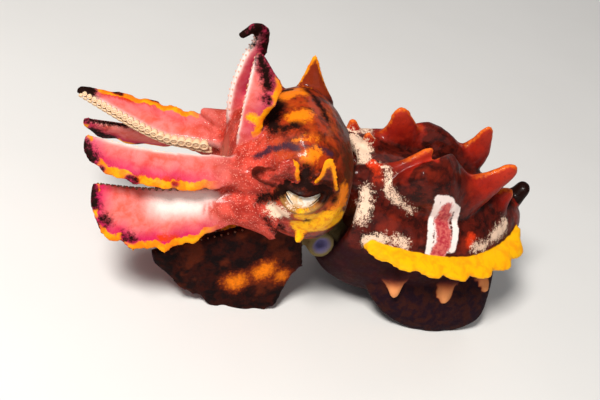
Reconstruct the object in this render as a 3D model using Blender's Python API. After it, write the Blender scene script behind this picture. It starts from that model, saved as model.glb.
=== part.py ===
"""A flamboyant cuttlefish, life size, walking on a level floor with its first arms raised.

Sizes are in millimetres and are written to the scene in metres. The head frame has its origin at the
centre of the head, the mantle frame at the centre of the mantle; both have x to the rear, y to the
animal's right and z to its back. The floor is the plane z = 0.
"""

import math
from dataclasses import dataclass

import bmesh
import bpy
from mathutils import Euler, Vector

MM = 0.001
GAP = 0.3
FLOOR_Z = 0.0


@dataclass(frozen=True)
class Frame:
    """A place and a turn that hold one part of the body."""

    origin: Vector
    yaw: float
    pitch: float
    roll: float

    def turn(self, direction):
        angles = [math.radians(angle) for angle in (self.roll, self.pitch, self.yaw)]
        return Euler(angles).to_matrix() @ Vector(direction)

    def at(self, point):
        return self.origin + self.turn(point)


HEAD = Frame(Vector((0.0, 0.0, 33.0)), yaw=-8.0, pitch=0.0, roll=0.0)
MANTLE = Frame(Vector((32.6, 2.3, 25.2)), yaw=1.0, pitch=7.0, roll=9.0)

# Mantle: station along its length, half width, reach to the back, reach to the belly.
MANTLE_SIZES = (
    (-22.0, 14.2, 10.4, 16.4),
    (-17.0, 15.8, 10.5, 20.8),
    (-9.0, 17.0, 10.2, 23.4),
    (-1.0, 17.2, 9.8, 23.0),
    (6.0, 16.4, 9.2, 21.2),
    (12.0, 14.2, 8.4, 18.2),
    (17.0, 11.2, 7.2, 14.2),
    (21.0, 8.0, 5.6, 9.8),
    (24.4, 4.8, 3.8, 5.8),
    (26.2, 2.2, 2.0, 2.8),
)
BACK_FULLNESS = 1.75
BELLY_FULLNESS = 2.6
MANTLE_RINGS = 15
MANTLE_POINTS = 28
COLLAR_WALL = 1.8
COLLAR_FLOOR = -19.4

# Head: station along its length, half width, reach to the crown, reach to the throat.
HEAD_SIZES = (
    (-16.0, 6.0, 5.5, 6.0),
    (-15.0, 8.4, 8.0, 8.6),
    (-12.0, 10.6, 10.8, 10.6),
    (-8.0, 13.0, 13.6, 12.0),
    (-3.0, 15.8, 15.6, 13.2),
    (1.5, 16.8, 14.6, 13.6),
    (5.5, 16.0, 12.0, 12.8),
    (8.8, 12.6, 8.6, 10.4),
)
CROWN_FULLNESS = 2.3
HEAD_RINGS = 12
HEAD_POINTS = 22
NECK_WIDTH = 8.8
NECK_HEIGHT = 5.6
NECK_LIFT = 1.4
NECK_START = -23.3

EYE_RADIUS = 5.4
EYE_CENTRE = (-1.2, 11.9, 2.6)
EYE_AXIS = (-0.12, 0.99, 0.06)
EYE_COVER = 1.1
LID_LENGTH = 4.4
LID_HEIGHT = 2.7
LID_ROLL = 0.85

MOUTH_RADIUS = 3.6
MOUTH_DEPTH = 2.2

FUNNEL_ROOT = (COLLAR_FLOOR - GAP, -3.0, -7.4)
FUNNEL_TIP = (7.4, -10.6, -11.5)
FUNNEL_RADIUS = 2.5
FUNNEL_MOUTH = 2.9
FUNNEL_BORE = 1.5

# Fin: share of its length, width beyond the body.
FIN_WIDTHS = ((0.0, 0.9), (0.08, 2.8), (0.3, 3.9), (0.6, 4.3), (0.8, 4.3), (0.93, 3.0), (1.0, 1.2))
FIN_START = -17.6
FIN_END = 23.8
FIN_STATIONS = 37
FIN_ROOT_THICKNESS = 1.7
FIN_EDGE_THICKNESS = 0.8
FIN_SUNK = 1.6
FIN_LOBES = 7.0
FIN_LOBE_DEPTH = 2.2


def smooth_value(table, station, column=1):
    """A value read from a table of stations along a smooth curve."""
    if station <= table[0][0]:
        return table[0][column]
    if station >= table[-1][0]:
        return table[-1][column]
    last = len(table) - 1
    i = max(k for k in range(last) if table[k][0] <= station)

    def slope(k):
        before, after = table[max(k - 1, 0)], table[min(k + 1, last)]
        return (after[column] - before[column]) / (after[0] - before[0])

    span = table[i + 1][0] - table[i][0]
    t = (station - table[i][0]) / span
    rise = t * t * (3 - 2 * t)
    return (
        table[i][column] * (1 - rise)
        + table[i + 1][column] * rise
        + span * slope(i) * t * (1 - t) ** 2
        - span * slope(i + 1) * t * t * (1 - t)
    )


class Path:
    """A smooth curve through a few points, read by its share of the whole length."""

    STEPS = 24

    def __init__(self, points):
        corners = [Vector(point) for point in points]
        first = corners[0] * 2 - corners[1]
        last = corners[-1] * 2 - corners[-2]
        padded = [first, *corners, last]
        self.points = [corners[0]]
        for a, b, c, d in zip(padded, padded[1:], padded[2:], padded[3:]):
            for step in range(1, self.STEPS + 1):
                t = step / self.STEPS
                self.points.append(
                    0.5 * (2 * b + (c - a) * t + (2 * a - 5 * b + 4 * c - d) * t**2 + (3 * b - a - 3 * c + d) * t**3)
                )
        self.lengths = [0.0]
        for a, b in zip(self.points, self.points[1:]):
            self.lengths.append(self.lengths[-1] + (b - a).length)

    @property
    def length(self):
        return self.lengths[-1]

    def at(self, share):
        """The point and the unit direction at this share of the length, which may run past either end."""
        wanted = share * self.length
        i = max(k for k in range(len(self.points) - 1) if k == 0 or self.lengths[k] <= wanted)
        a, b = self.points[i], self.points[i + 1]
        direction = (b - a).normalized()
        return a + direction * (wanted - self.lengths[i]), direction


def new_object(name, points, faces, material=None):
    """A mesh object from points in millimetres."""
    mesh = bpy.data.meshes.new(name)
    mesh.from_pydata([Vector(point) * MM for point in points], [], faces)
    mesh.validate()
    shape = bmesh.new()
    shape.from_mesh(mesh)
    bmesh.ops.recalc_face_normals(shape, faces=shape.faces)
    shape.to_mesh(mesh)
    shape.free()
    obj = bpy.data.objects.new(name, mesh)
    bpy.context.scene.collection.objects.link(obj)
    if material is not None:
        mesh.materials.append(material)
    return obj


def loft(name, rings, material=None):
    """A closed solid through rings of equally many points, with a flat face at each end."""
    count = len(rings[0])
    points = [point for ring in rings for point in ring]
    faces = []
    for r in range(len(rings) - 1):
        for k in range(count):
            a, b = r * count + k, r * count + (k + 1) % count
            faces.append((a, b, b + count, a + count))
    faces.append(tuple(range(count))[::-1])
    faces.append(tuple(range((len(rings) - 1) * count, len(rings) * count)))
    return new_object(name, points, faces, material)


def sheet(name, rows, material=None):
    """A thin closed solid from rows of (upper, lower) point pairs, split into triangles alike on both faces."""
    across = len(rows[0])
    points = [pair[0] for row in rows for pair in row] + [pair[1] for row in rows for pair in row]
    below = len(rows) * across
    faces = []
    for r in range(len(rows) - 1):
        for c in range(across - 1):
            a = r * across + c
            b, d, e = a + 1, a + across, a + across + 1
            for tri in ((a, b, e), (a, e, d)):
                faces.append(tri)
                faces.append(tuple(point + below for point in reversed(tri)))
    rim = [c for c in range(across)]
    rim += [r * across + across - 1 for r in range(1, len(rows))]
    rim += [(len(rows) - 1) * across + c for c in range(across - 2, -1, -1)]
    rim += [r * across for r in range(len(rows) - 2, 0, -1)]
    for a, b in zip(rim, rim[1:] + rim[:1]):
        faces.append((a, a + below, b + below))
        faces.append((a, b + below, b))
    return new_object(name, points, faces, material)


def ellipse_ring(centre, across, upward, count):
    """Points round a flat ellipse whose half axes are the vectors across and upward."""
    turns = (2 * math.pi * k / count for k in range(count))
    return [centre + across * math.cos(turn) + upward * math.sin(turn) for turn in turns]


def ball(name, centre, radius, points=16, rings=9, material=None):
    """A closed ball."""
    levels = [math.pi * (r + 0.5) / rings for r in range(rings)]
    return loft(
        name,
        [
            ellipse_ring(
                centre + Vector((0, 0, -radius * math.cos(level))),
                Vector((radius * math.sin(level), 0, 0)),
                Vector((0, radius * math.sin(level), 0)),
                points,
            )
            for level in levels
        ],
        material,
    )


def applied(obj):
    """The object with its modifiers made part of its mesh."""
    graph = bpy.context.evaluated_depsgraph_get()
    mesh = bpy.data.meshes.new_from_object(obj.evaluated_get(graph))
    obj.modifiers.clear()
    old, obj.data = obj.data, mesh
    bpy.data.meshes.remove(old)
    return obj


def keep_largest(obj):
    """The object with only its largest closed surface."""
    shape = bmesh.new()
    shape.from_mesh(obj.data)
    bmesh.ops.triangulate(shape, faces=shape.faces)
    seen, islands = set(), []
    for face in shape.faces:
        if face in seen:
            continue
        island, queue = [], [face]
        seen.add(face)
        while queue:
            one = queue.pop()
            island.append(one)
            for edge in one.edges:
                for other in edge.link_faces:
                    if other not in seen:
                        seen.add(other)
                        queue.append(other)
        islands.append(island)

    def volume(island):
        return abs(sum(f.verts[0].co.dot(f.verts[1].co.cross(f.verts[2].co)) for f in island)) / 6

    islands.sort(key=volume, reverse=True)
    scraps = [face for island in islands[1:] for face in island]
    bmesh.ops.delete(shape, geom=scraps, context="FACES")
    shape.to_mesh(obj.data)
    shape.free()
    return obj


def fused(obj, pieces, solver="EXACT"):
    """One solid of the object and the pieces that grow from it."""
    group = bpy.data.collections.new(obj.name + "_pieces")
    for piece in pieces:
        for home in list(piece.users_collection):
            home.objects.unlink(piece)
        group.objects.link(piece)
    union = obj.modifiers.new("union", "BOOLEAN")
    union.operation = "UNION"
    union.operand_type = "COLLECTION"
    union.collection = group
    union.solver = solver
    applied(obj)
    for piece in pieces:
        bpy.data.objects.remove(piece)
    bpy.data.collections.remove(group)
    return keep_largest(obj)


def cut(obj, cutters):
    """The object less each cutter, which is then removed."""
    for cutter in cutters:
        less = obj.modifiers.new("cut", "BOOLEAN")
        less.operation = "DIFFERENCE"
        less.object = cutter
        applied(obj)
        bpy.data.objects.remove(cutter)
    return keep_largest(obj)


def finish(name, colour, roughness):
    """A plain material for one part of the body."""
    material = bpy.data.materials.new(name)
    material.use_nodes = True
    shader = material.node_tree.nodes["Principled BSDF"]
    shader.inputs["Base Color"].default_value = (*colour, 1.0)
    shader.inputs["Roughness"].default_value = roughness
    shader.inputs["Metallic"].default_value = 0.0
    return material


def rounded_section(station, width, above, below, fullness_above, fullness_below, count):
    """A closed outline across the body: 2 is an ellipse, more is squarer and less is more pointed."""
    ring = []
    for k in range(count):
        turn = 2 * math.pi * k / count
        side, rise = math.cos(turn), math.sin(turn)
        reach, power = (above, 2 / fullness_above) if rise > 0 else (below, 2 / fullness_below)
        across = math.copysign(abs(side) ** power, side)
        upward = math.copysign(abs(rise) ** power, rise)
        ring.append(Vector((station, width * across, reach * upward)))
    return ring


def mantle_section(station, grown=0.0):
    """The outline of the mantle across its length, grown outwards all round."""
    width, back, belly = (smooth_value(MANTLE_SIZES, station, column) + grown for column in (1, 2, 3))
    return rounded_section(station, width, back, belly, BACK_FULLNESS, BELLY_FULLNESS, MANTLE_POINTS)


def mantle_rings(grown=0.0):
    """The outline at every station, closer together towards the tail."""
    start, end = MANTLE_SIZES[0][0], MANTLE_SIZES[-1][0]
    rings = []
    for r in range(MANTLE_RINGS):
        share = math.sin(0.5 * math.pi * r / (MANTLE_RINGS - 1)) * 0.6 + 0.4 * r / (MANTLE_RINGS - 1)
        rings.append([MANTLE.at(point) for point in mantle_section(start + (end - start) * share, grown)])
    return rings


def grown_mantle(grown=GAP):
    """A cutter that leaves a gap all round the mantle."""
    rings = mantle_rings(grown)
    for ring, step in ((rings[0], -grown), (rings[-1], grown)):
        move = MANTLE.turn((step, 0, 0))
        ring[:] = [point + move for point in ring]
    return loft("mantle_cutter", rings)


# Share of a horn's length and its size there against its root.
HORN_TAPER = ((0.0, 1.1), (0.3, 1.05), (0.5, 0.7), (0.75, 0.42), (0.93, 0.34), (1.0, 0.18))


def papilla(frame, root, tip, width, thickness, bend=(0, 0, 0), across=(1, 0, 0), points=7, sunk=5.0):
    """A soft horn of skin with a broad root sunk towards the middle of the body, and a blunt tip."""
    root, tip = Vector(root), Vector(tip)
    middle = root.lerp(tip, 0.5) + Vector(bend)
    inward = Vector((0, -root.y, -root.z)).normalized()
    path = Path((root + inward * sunk, root, middle, tip))
    rings = []
    for share, size in HORN_TAPER:
        centre, direction = path.at(share)
        side = Vector(across) - direction * direction.dot(Vector(across))
        side.normalize()
        other = direction.cross(side)
        ring = ellipse_ring(centre, side * width / 2 * size, other * thickness / 2 * size, points)
        rings.append([frame.at(point) for point in ring])
    return loft("papilla", rings)


@dataclass(frozen=True)
class Horn:
    """Where one papilla grows, in its frame."""

    root: tuple
    tip: tuple
    width: float
    thickness: float
    bend: tuple = (0.0, 0.0, 0.0)
    across: tuple = (1.0, 0.0, 0.0)


BACK_HORNS = (
    Horn((-19.0, -4.0, 8.6), (-20.6, -4.2, 12.6), 5.0, 4.0),
    Horn((-18.6, 9.0, 5.6), (-21.6, 9.4, 10.8), 5.4, 4.2),
    Horn((-18.2, 3.0, 9.4), (-20.6, 3.0, 13.6), 4.6, 3.6),
    Horn((-13.8, -5.4, 7.8), (-9.8, -4.4, 19.4), 8.4, 5.0, bend=(-0.4, 0, -0.8)),
    Horn((-9.5, 7.6, 6.2), (-13.0, 9.0, 17.2), 12.0, 6.0, bend=(1.6, 0, -1.0)),
    Horn((-0.6, -6.6, 7.4), (11.0, -5.0, 20.0), 13.4, 6.8, bend=(0.4, 0, -2.4)),
    Horn((6.6, 6.8, 5.6), (10.0, 8.5, 18.4), 12.4, 6.0, bend=(1.6, 0, -1.4)),
    Horn((14.0, -3.8, 5.4), (16.6, -2.6, 11.0), 7.4, 4.6),
    Horn((20.4, 1.2, 2.4), (24.4, 2.4, 9.2), 6.4, 5.2, bend=(0.8, 0, -0.6), across=(0, 1, 0)),
)
BELLY_HORNS = (
    Horn((-6.2, 15.0, -8.6), (-5.0, 18.6, -13.2), 5.8, 4.6),
    Horn((7.2, 14.0, -8.4), (8.0, 18.4, -12.6), 5.4, 4.4),
    Horn((14.6, 11.6, -6.0), (18.8, 16.0, -9.4), 4.6, 4.0),
)


def belly_papillae(grown=0.0):
    """The short horns along both sides of the belly, or cutters that leave a gap round them."""
    pieces = []
    for horn in BELLY_HORNS:
        for side in (-1, 1):
            root, tip = on_side(horn.root, side), on_side(horn.tip, side)
            tip += (tip - root).normalized() * grown
            pieces.append(papilla(MANTLE, root, tip, horn.width + 2 * grown, horn.thickness + 2 * grown))
    return pieces


def make_mantle(skin):
    """The body, open at its collar, with the horns of its back and its belly."""
    body = loft("mantle", mantle_rings(), skin)
    pieces = [papilla(MANTLE, h.root, h.tip, h.width, h.thickness, h.bend, h.across) for h in BACK_HORNS]
    fused(body, pieces + belly_papillae())
    front = MANTLE_SIZES[0][0]
    inner = mantle_section(front, -COLLAR_WALL)
    hollow = [[MANTLE.at(Vector((x, point.y, point.z))) for point in inner] for x in (front - 5.0, COLLAR_FLOOR)]
    return cut(body, [loft("collar_cutter", hollow)])


def head_section(station, grown=0.0):
    """The outline of the head across its length, grown outwards all round."""
    width, crown, throat = (smooth_value(HEAD_SIZES, station, column) + grown for column in (1, 2, 3))
    return rounded_section(station, width, crown, throat, CROWN_FULLNESS, 2.0, HEAD_POINTS)


def neck_section(station, grown=0.0):
    """The outline of the neck across the mantle's length."""
    return ellipse_ring(
        Vector((station, 0, NECK_LIFT)),
        Vector((0, NECK_WIDTH + grown, 0)),
        Vector((0, 0, NECK_HEIGHT + grown)),
        HEAD_POINTS,
    )


def head_form(name, grown=0.0, material=None):
    """The head from the ring of the arms to the end of the neck, in the collar."""
    start, end = HEAD_SIZES[0][0], HEAD_SIZES[-1][0]
    rings = []
    for r in range(HEAD_RINGS):
        station = start + (end - start) * r / (HEAD_RINGS - 1)
        ring = head_section(station, grown)
        if r == 0:
            ring = [point + Vector((-grown, 0, 0)) for point in ring]
        rings.append([HEAD.at(point) for point in ring])
    for station in (NECK_START, COLLAR_FLOOR - GAP + grown):
        rings.append([MANTLE.at(point) for point in neck_section(station, grown)])
    return loft(name, rings, material)


def on_side(point, side):
    """A point given for the animal's right side, on the side that is wanted."""
    return Vector((point[0], point[1] * side, point[2]))


def lid(side):
    """The ring of skin that lies on the eyeball round its opening."""
    centre, axis = on_side(EYE_CENTRE, side), on_side(EYE_AXIS, side).normalized()
    along = (Vector((1, 0, 0)) - axis * axis.x).normalized()
    above = axis.cross(along)
    count, around = 16, 5
    rings = []
    for k in range(count):
        turn = 2 * math.pi * k / count
        offset = along * LID_LENGTH * math.cos(turn) + above * LID_HEIGHT * math.sin(turn)
        radius = EYE_RADIUS + 0.35
        out = (offset + axis * math.sqrt(radius**2 - offset.length_squared)).normalized()
        onward = (above * LID_HEIGHT * math.cos(turn) - along * LID_LENGTH * math.sin(turn)).normalized()
        beside = onward.cross(out).normalized()
        middle = centre + out * radius
        rings.append([HEAD.at(p) for p in ellipse_ring(middle, out * LID_ROLL, beside * LID_ROLL, around)])
    points = [point for ring in rings for point in ring]
    faces = []
    for r in range(count):
        for k in range(around):
            a, b = r * around + k, r * around + (k + 1) % around
            c, d = ((r + 1) % count) * around + (k + 1) % around, ((r + 1) % count) * around + k
            faces.append((a, b, c, d))
    return new_object("lid", points, faces)


HEAD_HORNS = (
    Horn((1.8, -13.0, 6.6), (-0.1, -15.8, 14.2), 6.4, 2.6, bend=(0.3, -0.9, 0)),
    Horn((-6.4, -12.4, 5.4), (-7.6, -15.0, 12.0), 6.6, 2.6, bend=(0, -0.8, 0)),
    Horn((1.0, -13.6, -3.6), (0.3, -16.6, -7.4), 4.4, 3.0),
    Horn((0.4, 9.8, 10.6), (-1.3, 11.2, 20.2), 8.6, 5.0, bend=(0.0, 0.4, 0)),
    Horn((-7.4, 9.4, 9.4), (-8.3, 10.6, 13.8), 6.0, 3.2),
    Horn((1.0, 13.6, -3.6), (0.3, 16.6, -7.4), 4.4, 3.0),
)


def eye_opening(side):
    """A cutter through the skin over the eye, as long and high as the opening between the lids."""
    centre, axis = on_side(EYE_CENTRE, side), on_side(EYE_AXIS, side).normalized()
    along = (Vector((1, 0, 0)) - axis * axis.x).normalized()
    above = axis.cross(along)
    rings = []
    for depth in (0.0, 2 * EYE_RADIUS):
        ring = ellipse_ring(centre + axis * depth, along * LID_LENGTH, above * LID_HEIGHT, 20)
        rings.append([HEAD.at(point) for point in ring])
    return loft("opening", rings)


def make_head(skin):
    """The head with its lids, the horns round its eyes and the hollows of the eyes."""
    form = head_form("head", 0.0, skin)
    pieces = [papilla(HEAD, h.root, h.tip, h.width, h.thickness, h.bend, h.across) for h in HEAD_HORNS]
    for side in (-1, 1):
        pieces.append(ball("mound", HEAD.at(on_side(EYE_CENTRE, side)), EYE_RADIUS + EYE_COVER))
    fused(form, pieces)
    cut(form, [eye_opening(-1), eye_opening(1)])
    fused(form, [lid(-1), lid(1)])
    sockets = [ball("socket", HEAD.at(on_side(EYE_CENTRE, side)), EYE_RADIUS + GAP) for side in (-1, 1)]
    return cut(form, sockets)


def make_mouth(skin):
    """The round lips, in the middle of the ring of arms."""
    seat = HEAD_SIZES[0][0] - GAP
    profile = ((0.0, 1.0), (0.45, 1.0), (0.85, 0.82), (1.0, 0.55), (0.82, 0.36), (0.45, 0.2))
    rings = []
    for depth, size in profile:
        centre = HEAD.at((seat - depth * MOUTH_DEPTH, 0, 0))
        reach = MOUTH_RADIUS * size
        rings.append(ellipse_ring(centre, HEAD.turn((0, reach, 0)), HEAD.turn((0, 0, reach)), 16))
    return loft("mouth", rings, skin)


def make_funnel(skin):
    """The funnel, from inside the collar to its open end beside the throat."""
    root = MANTLE.at(FUNNEL_ROOT)
    before = MANTLE.at(Vector(FUNNEL_ROOT) + Vector((-5.0, -0.6, -0.2)))
    tip = HEAD.at(FUNNEL_TIP)
    path = Path((root, before, before.lerp(tip, 0.55) + Vector((-1.0, 0.8, -0.6)), tip))
    rings = []
    for share in (0.0, 0.3, 0.55, 0.8, 1.0):
        centre, direction = path.at(share)
        side = direction.cross(Vector((0, 0, 1))).normalized()
        if share == 0.0:
            direction, side = MANTLE.turn((-1, 0, 0)), MANTLE.turn((0, 1, 0))
        radius = FUNNEL_RADIUS + (FUNNEL_MOUTH - FUNNEL_RADIUS) * share
        rings.append(ellipse_ring(centre, side * radius, direction.cross(side) * radius, 14))
    centre, direction = path.at(1.0)
    side = direction.cross(Vector((0, 0, 1))).normalized()
    for depth, radius in ((0.0, FUNNEL_BORE + 0.5), (-1.2, FUNNEL_BORE), (-2.2, FUNNEL_BORE * 0.8)):
        middle = centre + direction * depth
        rings.append(ellipse_ring(middle, side * radius, direction.cross(side) * radius, 14))
    eye_mound = HEAD.at(on_side(EYE_CENTRE, -1))
    cutters = [head_form("head_cutter", GAP), ball("mound_cutter", eye_mound, EYE_RADIUS + EYE_COVER + GAP)]
    return cut(loft("funnel", rings, skin), cutters)


def make_fin(side, skin):
    """One scalloped fin along the side of the mantle, from the collar to the tail."""
    rows = []
    edge = []
    for r in range(FIN_STATIONS):
        share = r / (FIN_STATIONS - 1)
        station = FIN_START + (FIN_END - FIN_START) * (0.45 * share + 0.55 * math.sin(0.5 * math.pi * share))
        edge.append((share, station, smooth_value(MANTLE_SIZES, station)))
    steps = [math.dist(a[1:], b[1:]) for a, b in zip(edge, edge[1:])]
    for r, (share, station, width) in enumerate(edge):
        ahead = smooth_value(MANTLE_SIZES, min(station + 0.4, MANTLE_SIZES[-1][0]))
        slope = (ahead - width) / 0.4
        out = Vector((-slope, 1.0, 0.0)).normalized()
        run = sum(steps[:r]) / sum(steps)
        lobe = 0.5 - abs(math.sin(math.pi * (FIN_LOBES * run + 0.1)))
        reach = smooth_value(FIN_WIDTHS, share) + FIN_LOBE_DEPTH * lobe * (0.3 + 0.7 * run)
        level = -0.6 + 2.2 * share**2
        row = []
        for c in (-1, 0.45, 1.0):
            away = c * reach if c > 0 else -FIN_SUNK
            thickness = FIN_ROOT_THICKNESS + (FIN_EDGE_THICKNESS - FIN_ROOT_THICKNESS) * max(c, 0)
            droop = -0.9 * max(c, 0) ** 2
            middle = Vector((station, width, level + droop)) + out * away
            pair = (middle + Vector((0, 0, thickness / 2)), middle - Vector((0, 0, thickness / 2)))
            row.append([MANTLE.at(on_side(point, side)) for point in pair])
        rows.append(row)
    name = "fin_left" if side < 0 else "fin_right"
    return cut(sheet(name, rows, skin), [grown_mantle()])


# Walking flap: height over the floor, centre along and across, half length, half thickness.
FLAPS = {
    "left": (
        (15.0, 35.4, -7.8, 16.0, 3.2),
        (9.0, 36.2, -10.2, 15.4, 3.0),
        (4.0, 38.4, -11.8, 12.6, 2.4),
        (1.4, 39.2, -12.4, 8.6, 1.8),
        (0.0, 39.4, -12.6, 5.4, 1.3),
    ),
    "right": (
        (19.0, 35.4, 12.6, 16.0, 3.2),
        (11.0, 36.2, 15.2, 15.2, 3.0),
        (4.5, 38.4, 16.6, 12.0, 2.3),
        (1.4, 39.2, 17.2, 8.2, 1.7),
        (0.0, 39.4, 17.4, 5.2, 1.2),
    ),
}


def make_flap(side, skin):
    """One fleshy flap of the belly, on which the animal walks, with a small flat on the floor."""
    rings = []
    for height, along, across, length, thickness in FLAPS[side]:
        centre = Vector((along, across, height))
        rings.append(ellipse_ring(centre, Vector((length, 0, 0)), Vector((0, thickness, 0)), 16))
    return cut(loft("walking_flap_" + side, rings, skin), [grown_mantle(), *belly_papillae(GAP)])


@dataclass(frozen=True)
class Arm:
    """One arm: its path in the head frame, the way that its keel points, and its sizes."""

    name: str
    path: tuple
    keels: tuple
    reaches: tuple
    thickness: float = 3.8
    parted: float = 0.55
    suckers: int = 9


ARM_STATIONS = 14
ARM_POINTS = 10
KEEL_EDGE = 0.8
ARM_TAPER = 0.62

# Sucker: height over its foot and radius there, from the stalk to the floor of the cup.
SUCKER_PROFILE = ((0.0, 0.75), (1.4, 0.88), (1.05, 0.42))
SUCKER_SIDES = 6
SUCKER_START = 0.3
SUCKER_END = 0.97
SUCKER_MARGIN = 0.025

ARMS = (
    Arm(
        "arm_1_left",
        path=((-9.0, -3.6, 1.0), (-13.7, -5.0, 6.6), (-15.0, -5.3, 13.2), (-15.8, -5.5, 20.0), (-16.3, -5.0, 27.4)),
        keels=((0.6, -0.3, 0.8), (1.0, -0.3, 0.1), (1.0, -0.1, 0.1)),
        reaches=((0.0, 3.2), (0.4, 3.6), (0.55, 4.6), (0.74, 6.2), (0.88, 4.2), (1.0, 0.6)),
        thickness=3.4,
    ),
    Arm(
        "arm_1_right",
        path=(
            (-9.0, 3.6, -1.0),
            (-14.6, 5.0, 3.4),
            (-16.4, 5.4, 11.0),
            (-16.2, 5.2, 19.5),
            (-15.4, 4.6, 24.6),
            (-17.0, 3.6, 27.2),
            (-18.9, 3.0, 25.0),
        ),
        keels=((0.6, 0.3, 0.8), (1.0, 0.3, 0.1), (0.5, 0.0, 0.8)),
        reaches=((0.0, 3.0), (0.35, 3.8), (0.62, 4.2), (0.85, 3.0), (1.0, 0.7)),
        thickness=3.4,
    ),
    Arm(
        "arm_2_left",
        path=((-8.0, -5.0, 2.0), (-16.0, -8.3, 3.0), (-23.0, -9.5, 2.9), (-32.0, -10.0, 3.0), (-44.6, -10.5, 4.6)),
        keels=((0.0, -0.9, -0.4), (0.0, -0.81, -0.58), (0.0, -0.84, -0.54)),
        reaches=((0.0, 2.2), (0.3, 5.4), (0.6, 6.4), (0.88, 5.6), (1.0, 1.6)),
    ),
    Arm(
        "arm_2_right",
        path=((-8.0, 5.0, -0.5), (-14.6, 6.2, -1.6), (-21.5, 7.0, -2.6), (-30.0, 8.2, -2.9), (-47.0, 11.2, 1.2)),
        keels=((0.0, 0.9, 0.4), (0.0, 0.8, 0.6), (0.0, 0.9, 0.2)),
        reaches=((0.0, 2.6), (0.3, 5.6), (0.6, 6.0), (0.85, 3.6), (1.0, 0.6)),
    ),
    Arm(
        "arm_3_left",
        path=((-7.0, -5.6, -2.0), (-13.4, -8.5, -3.0), (-21.0, -10.0, -4.4), (-31.0, -10.6, -5.9), (-41.4, -11.0, -6.0)),
        keels=((0.0, -0.5, -0.85), (0.0, -0.55, -0.83), (0.0, -0.65, -0.76)),
        reaches=((0.0, 3.0), (0.3, 7.8), (0.6, 11.2), (0.88, 9.0), (1.0, 2.4)),
    ),
    Arm(
        "arm_3_right",
        path=((-7.0, 5.6, -4.0), (-13.4, 9.4, -5.2), (-21.0, 11.0, -6.0), (-31.0, 12.0, -6.7), (-44.6, 12.0, -6.9)),
        keels=((0.0, 0.6, -0.8), (0.0, 0.75, -0.66), (0.0, 0.8, -0.6)),
        reaches=((0.0, 2.8), (0.3, 6.8), (0.6, 8.6), (0.86, 6.0), (1.0, 1.0)),
    ),
    Arm(
        "arm_4_left",
        path=((1.5, -6.0, -10.0), (-4.0, -7.0, -11.8), (-11.0, -8.5, -14.2), (-18.5, -10.2, -16.6), (-26.9, -12.0, -19.8)),
        keels=((0.28, -0.12, -0.95), (0.06, -0.1, -0.99), (0.0, -0.05, -1.0)),
        reaches=((0.0, 10.5), (0.1, 16.4), (0.2, 21.0), (0.32, 22.6), (0.5, 20.6), (0.68, 17.2), (0.85, 11.4), (1.0, 2.4)),
        thickness=4.2,
    ),
    Arm(
        "arm_4_right",
        path=((1.5, 6.0, -10.0), (-4.0, 7.0, -11.8), (-11.0, 8.5, -14.2), (-18.5, 10.2, -16.6), (-26.9, 12.0, -19.8)),
        keels=((0.28, 0.12, -0.95), (0.06, 0.1, -0.99), (0.0, 0.05, -1.0)),
        reaches=((0.0, 10.5), (0.1, 16.4), (0.2, 21.0), (0.32, 22.6), (0.5, 20.6), (0.68, 17.2), (0.85, 11.4), (1.0, 2.4)),
        thickness=4.2,
    ),
)


def arm_frame(arm, share):
    """The middle of an arm at a share of its length, with its direction, keel and side as unit vectors."""
    centre, direction = Path(arm.path).at(share)
    first, middle, last = (Vector(keel).normalized() for keel in arm.keels)
    keel = first.lerp(middle, share / 0.5) if share < 0.5 else middle.lerp(last, share / 0.5 - 1)
    keel = (keel - direction * keel.dot(direction)).normalized()
    return centre, direction, keel, direction.cross(keel)


def arm_thickness(arm, share):
    """How thick an arm is where its suckers sit."""
    return arm.thickness * (1 - ARM_TAPER * max(share, 0.0) ** 1.4)


def arm_section(arm, share):
    """The outline of an arm: round where the suckers sit, thin at its keel."""
    centre, _, keel, beside = arm_frame(arm, share)
    oral, reach = arm_thickness(arm, share) / 2, smooth_value(arm.reaches, share)
    ring = []
    for k in range(ARM_POINTS):
        turn = 2 * math.pi * (k + 0.5) / ARM_POINTS
        out = (reach - oral) / 2 + math.cos(turn) * (reach + oral) / 2
        far = (out + oral) / (reach + oral)
        half = oral + (KEEL_EDGE / 2 - oral) * min(1.0, max(far, 0.0)) ** 0.8
        ring.append(HEAD.at(centre + keel * out + beside * (half * 1.25 * math.sin(turn))))
    return ring


def sucker(arm, share, row, scale):
    """One cup on the round edge of an arm, with its stalk sunk into the arm."""
    centre, direction, keel, beside = arm_frame(arm, share)
    oral = arm_thickness(arm, share) / 2
    lean = (-keel * 0.92 + beside * 0.4 * row).normalized()
    foot = centre - keel * oral * 0.55 + beside * row * oral * 0.55
    side = direction.cross(lean).normalized()
    ahead = lean.cross(side)
    rings = []
    for height, radius in SUCKER_PROFILE:
        middle = foot + lean * (height * scale)
        ring = ellipse_ring(middle, side * radius * scale, ahead * radius * scale, SUCKER_SIDES)
        rings.append([HEAD.at(point) for point in ring])
    return loft("sucker", rings)


def arm_suckers(arm, start, end):
    """Two staggered rows of cups along one length of an arm, smaller towards its tip."""
    cups = []
    for k in range(arm.suckers):
        for row in (-1, 1):
            share = SUCKER_START + (SUCKER_END - SUCKER_START) * (k + 0.25 + 0.25 * row) / arm.suckers
            scale = arm_thickness(arm, share) / arm.thickness
            if start + SUCKER_MARGIN < share < end - SUCKER_MARGIN:
                cups.append(sucker(arm, share, row, scale))
    return cups


def arm_length(arm, name, start, end, skin):
    """One length of an arm, cut square at each end."""
    count = max(4, round(ARM_STATIONS * (end - start)))
    shares = [start + (end - start) * r / count for r in range(count + 1)]
    return loft(name, [arm_section(arm, share) for share in shares], skin)


def floor_block():
    """A cutter that fills the space under the floor."""
    size, depth = 120.0, 20.0
    corner = [Vector((x, y, 0)) for x, y in ((-size, -size), (size, -size), (size, size), (-size, size))]
    return loft("floor_cutter", [[p + Vector((0, 0, FLOOR_Z - depth)) for p in corner], corner])


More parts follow.
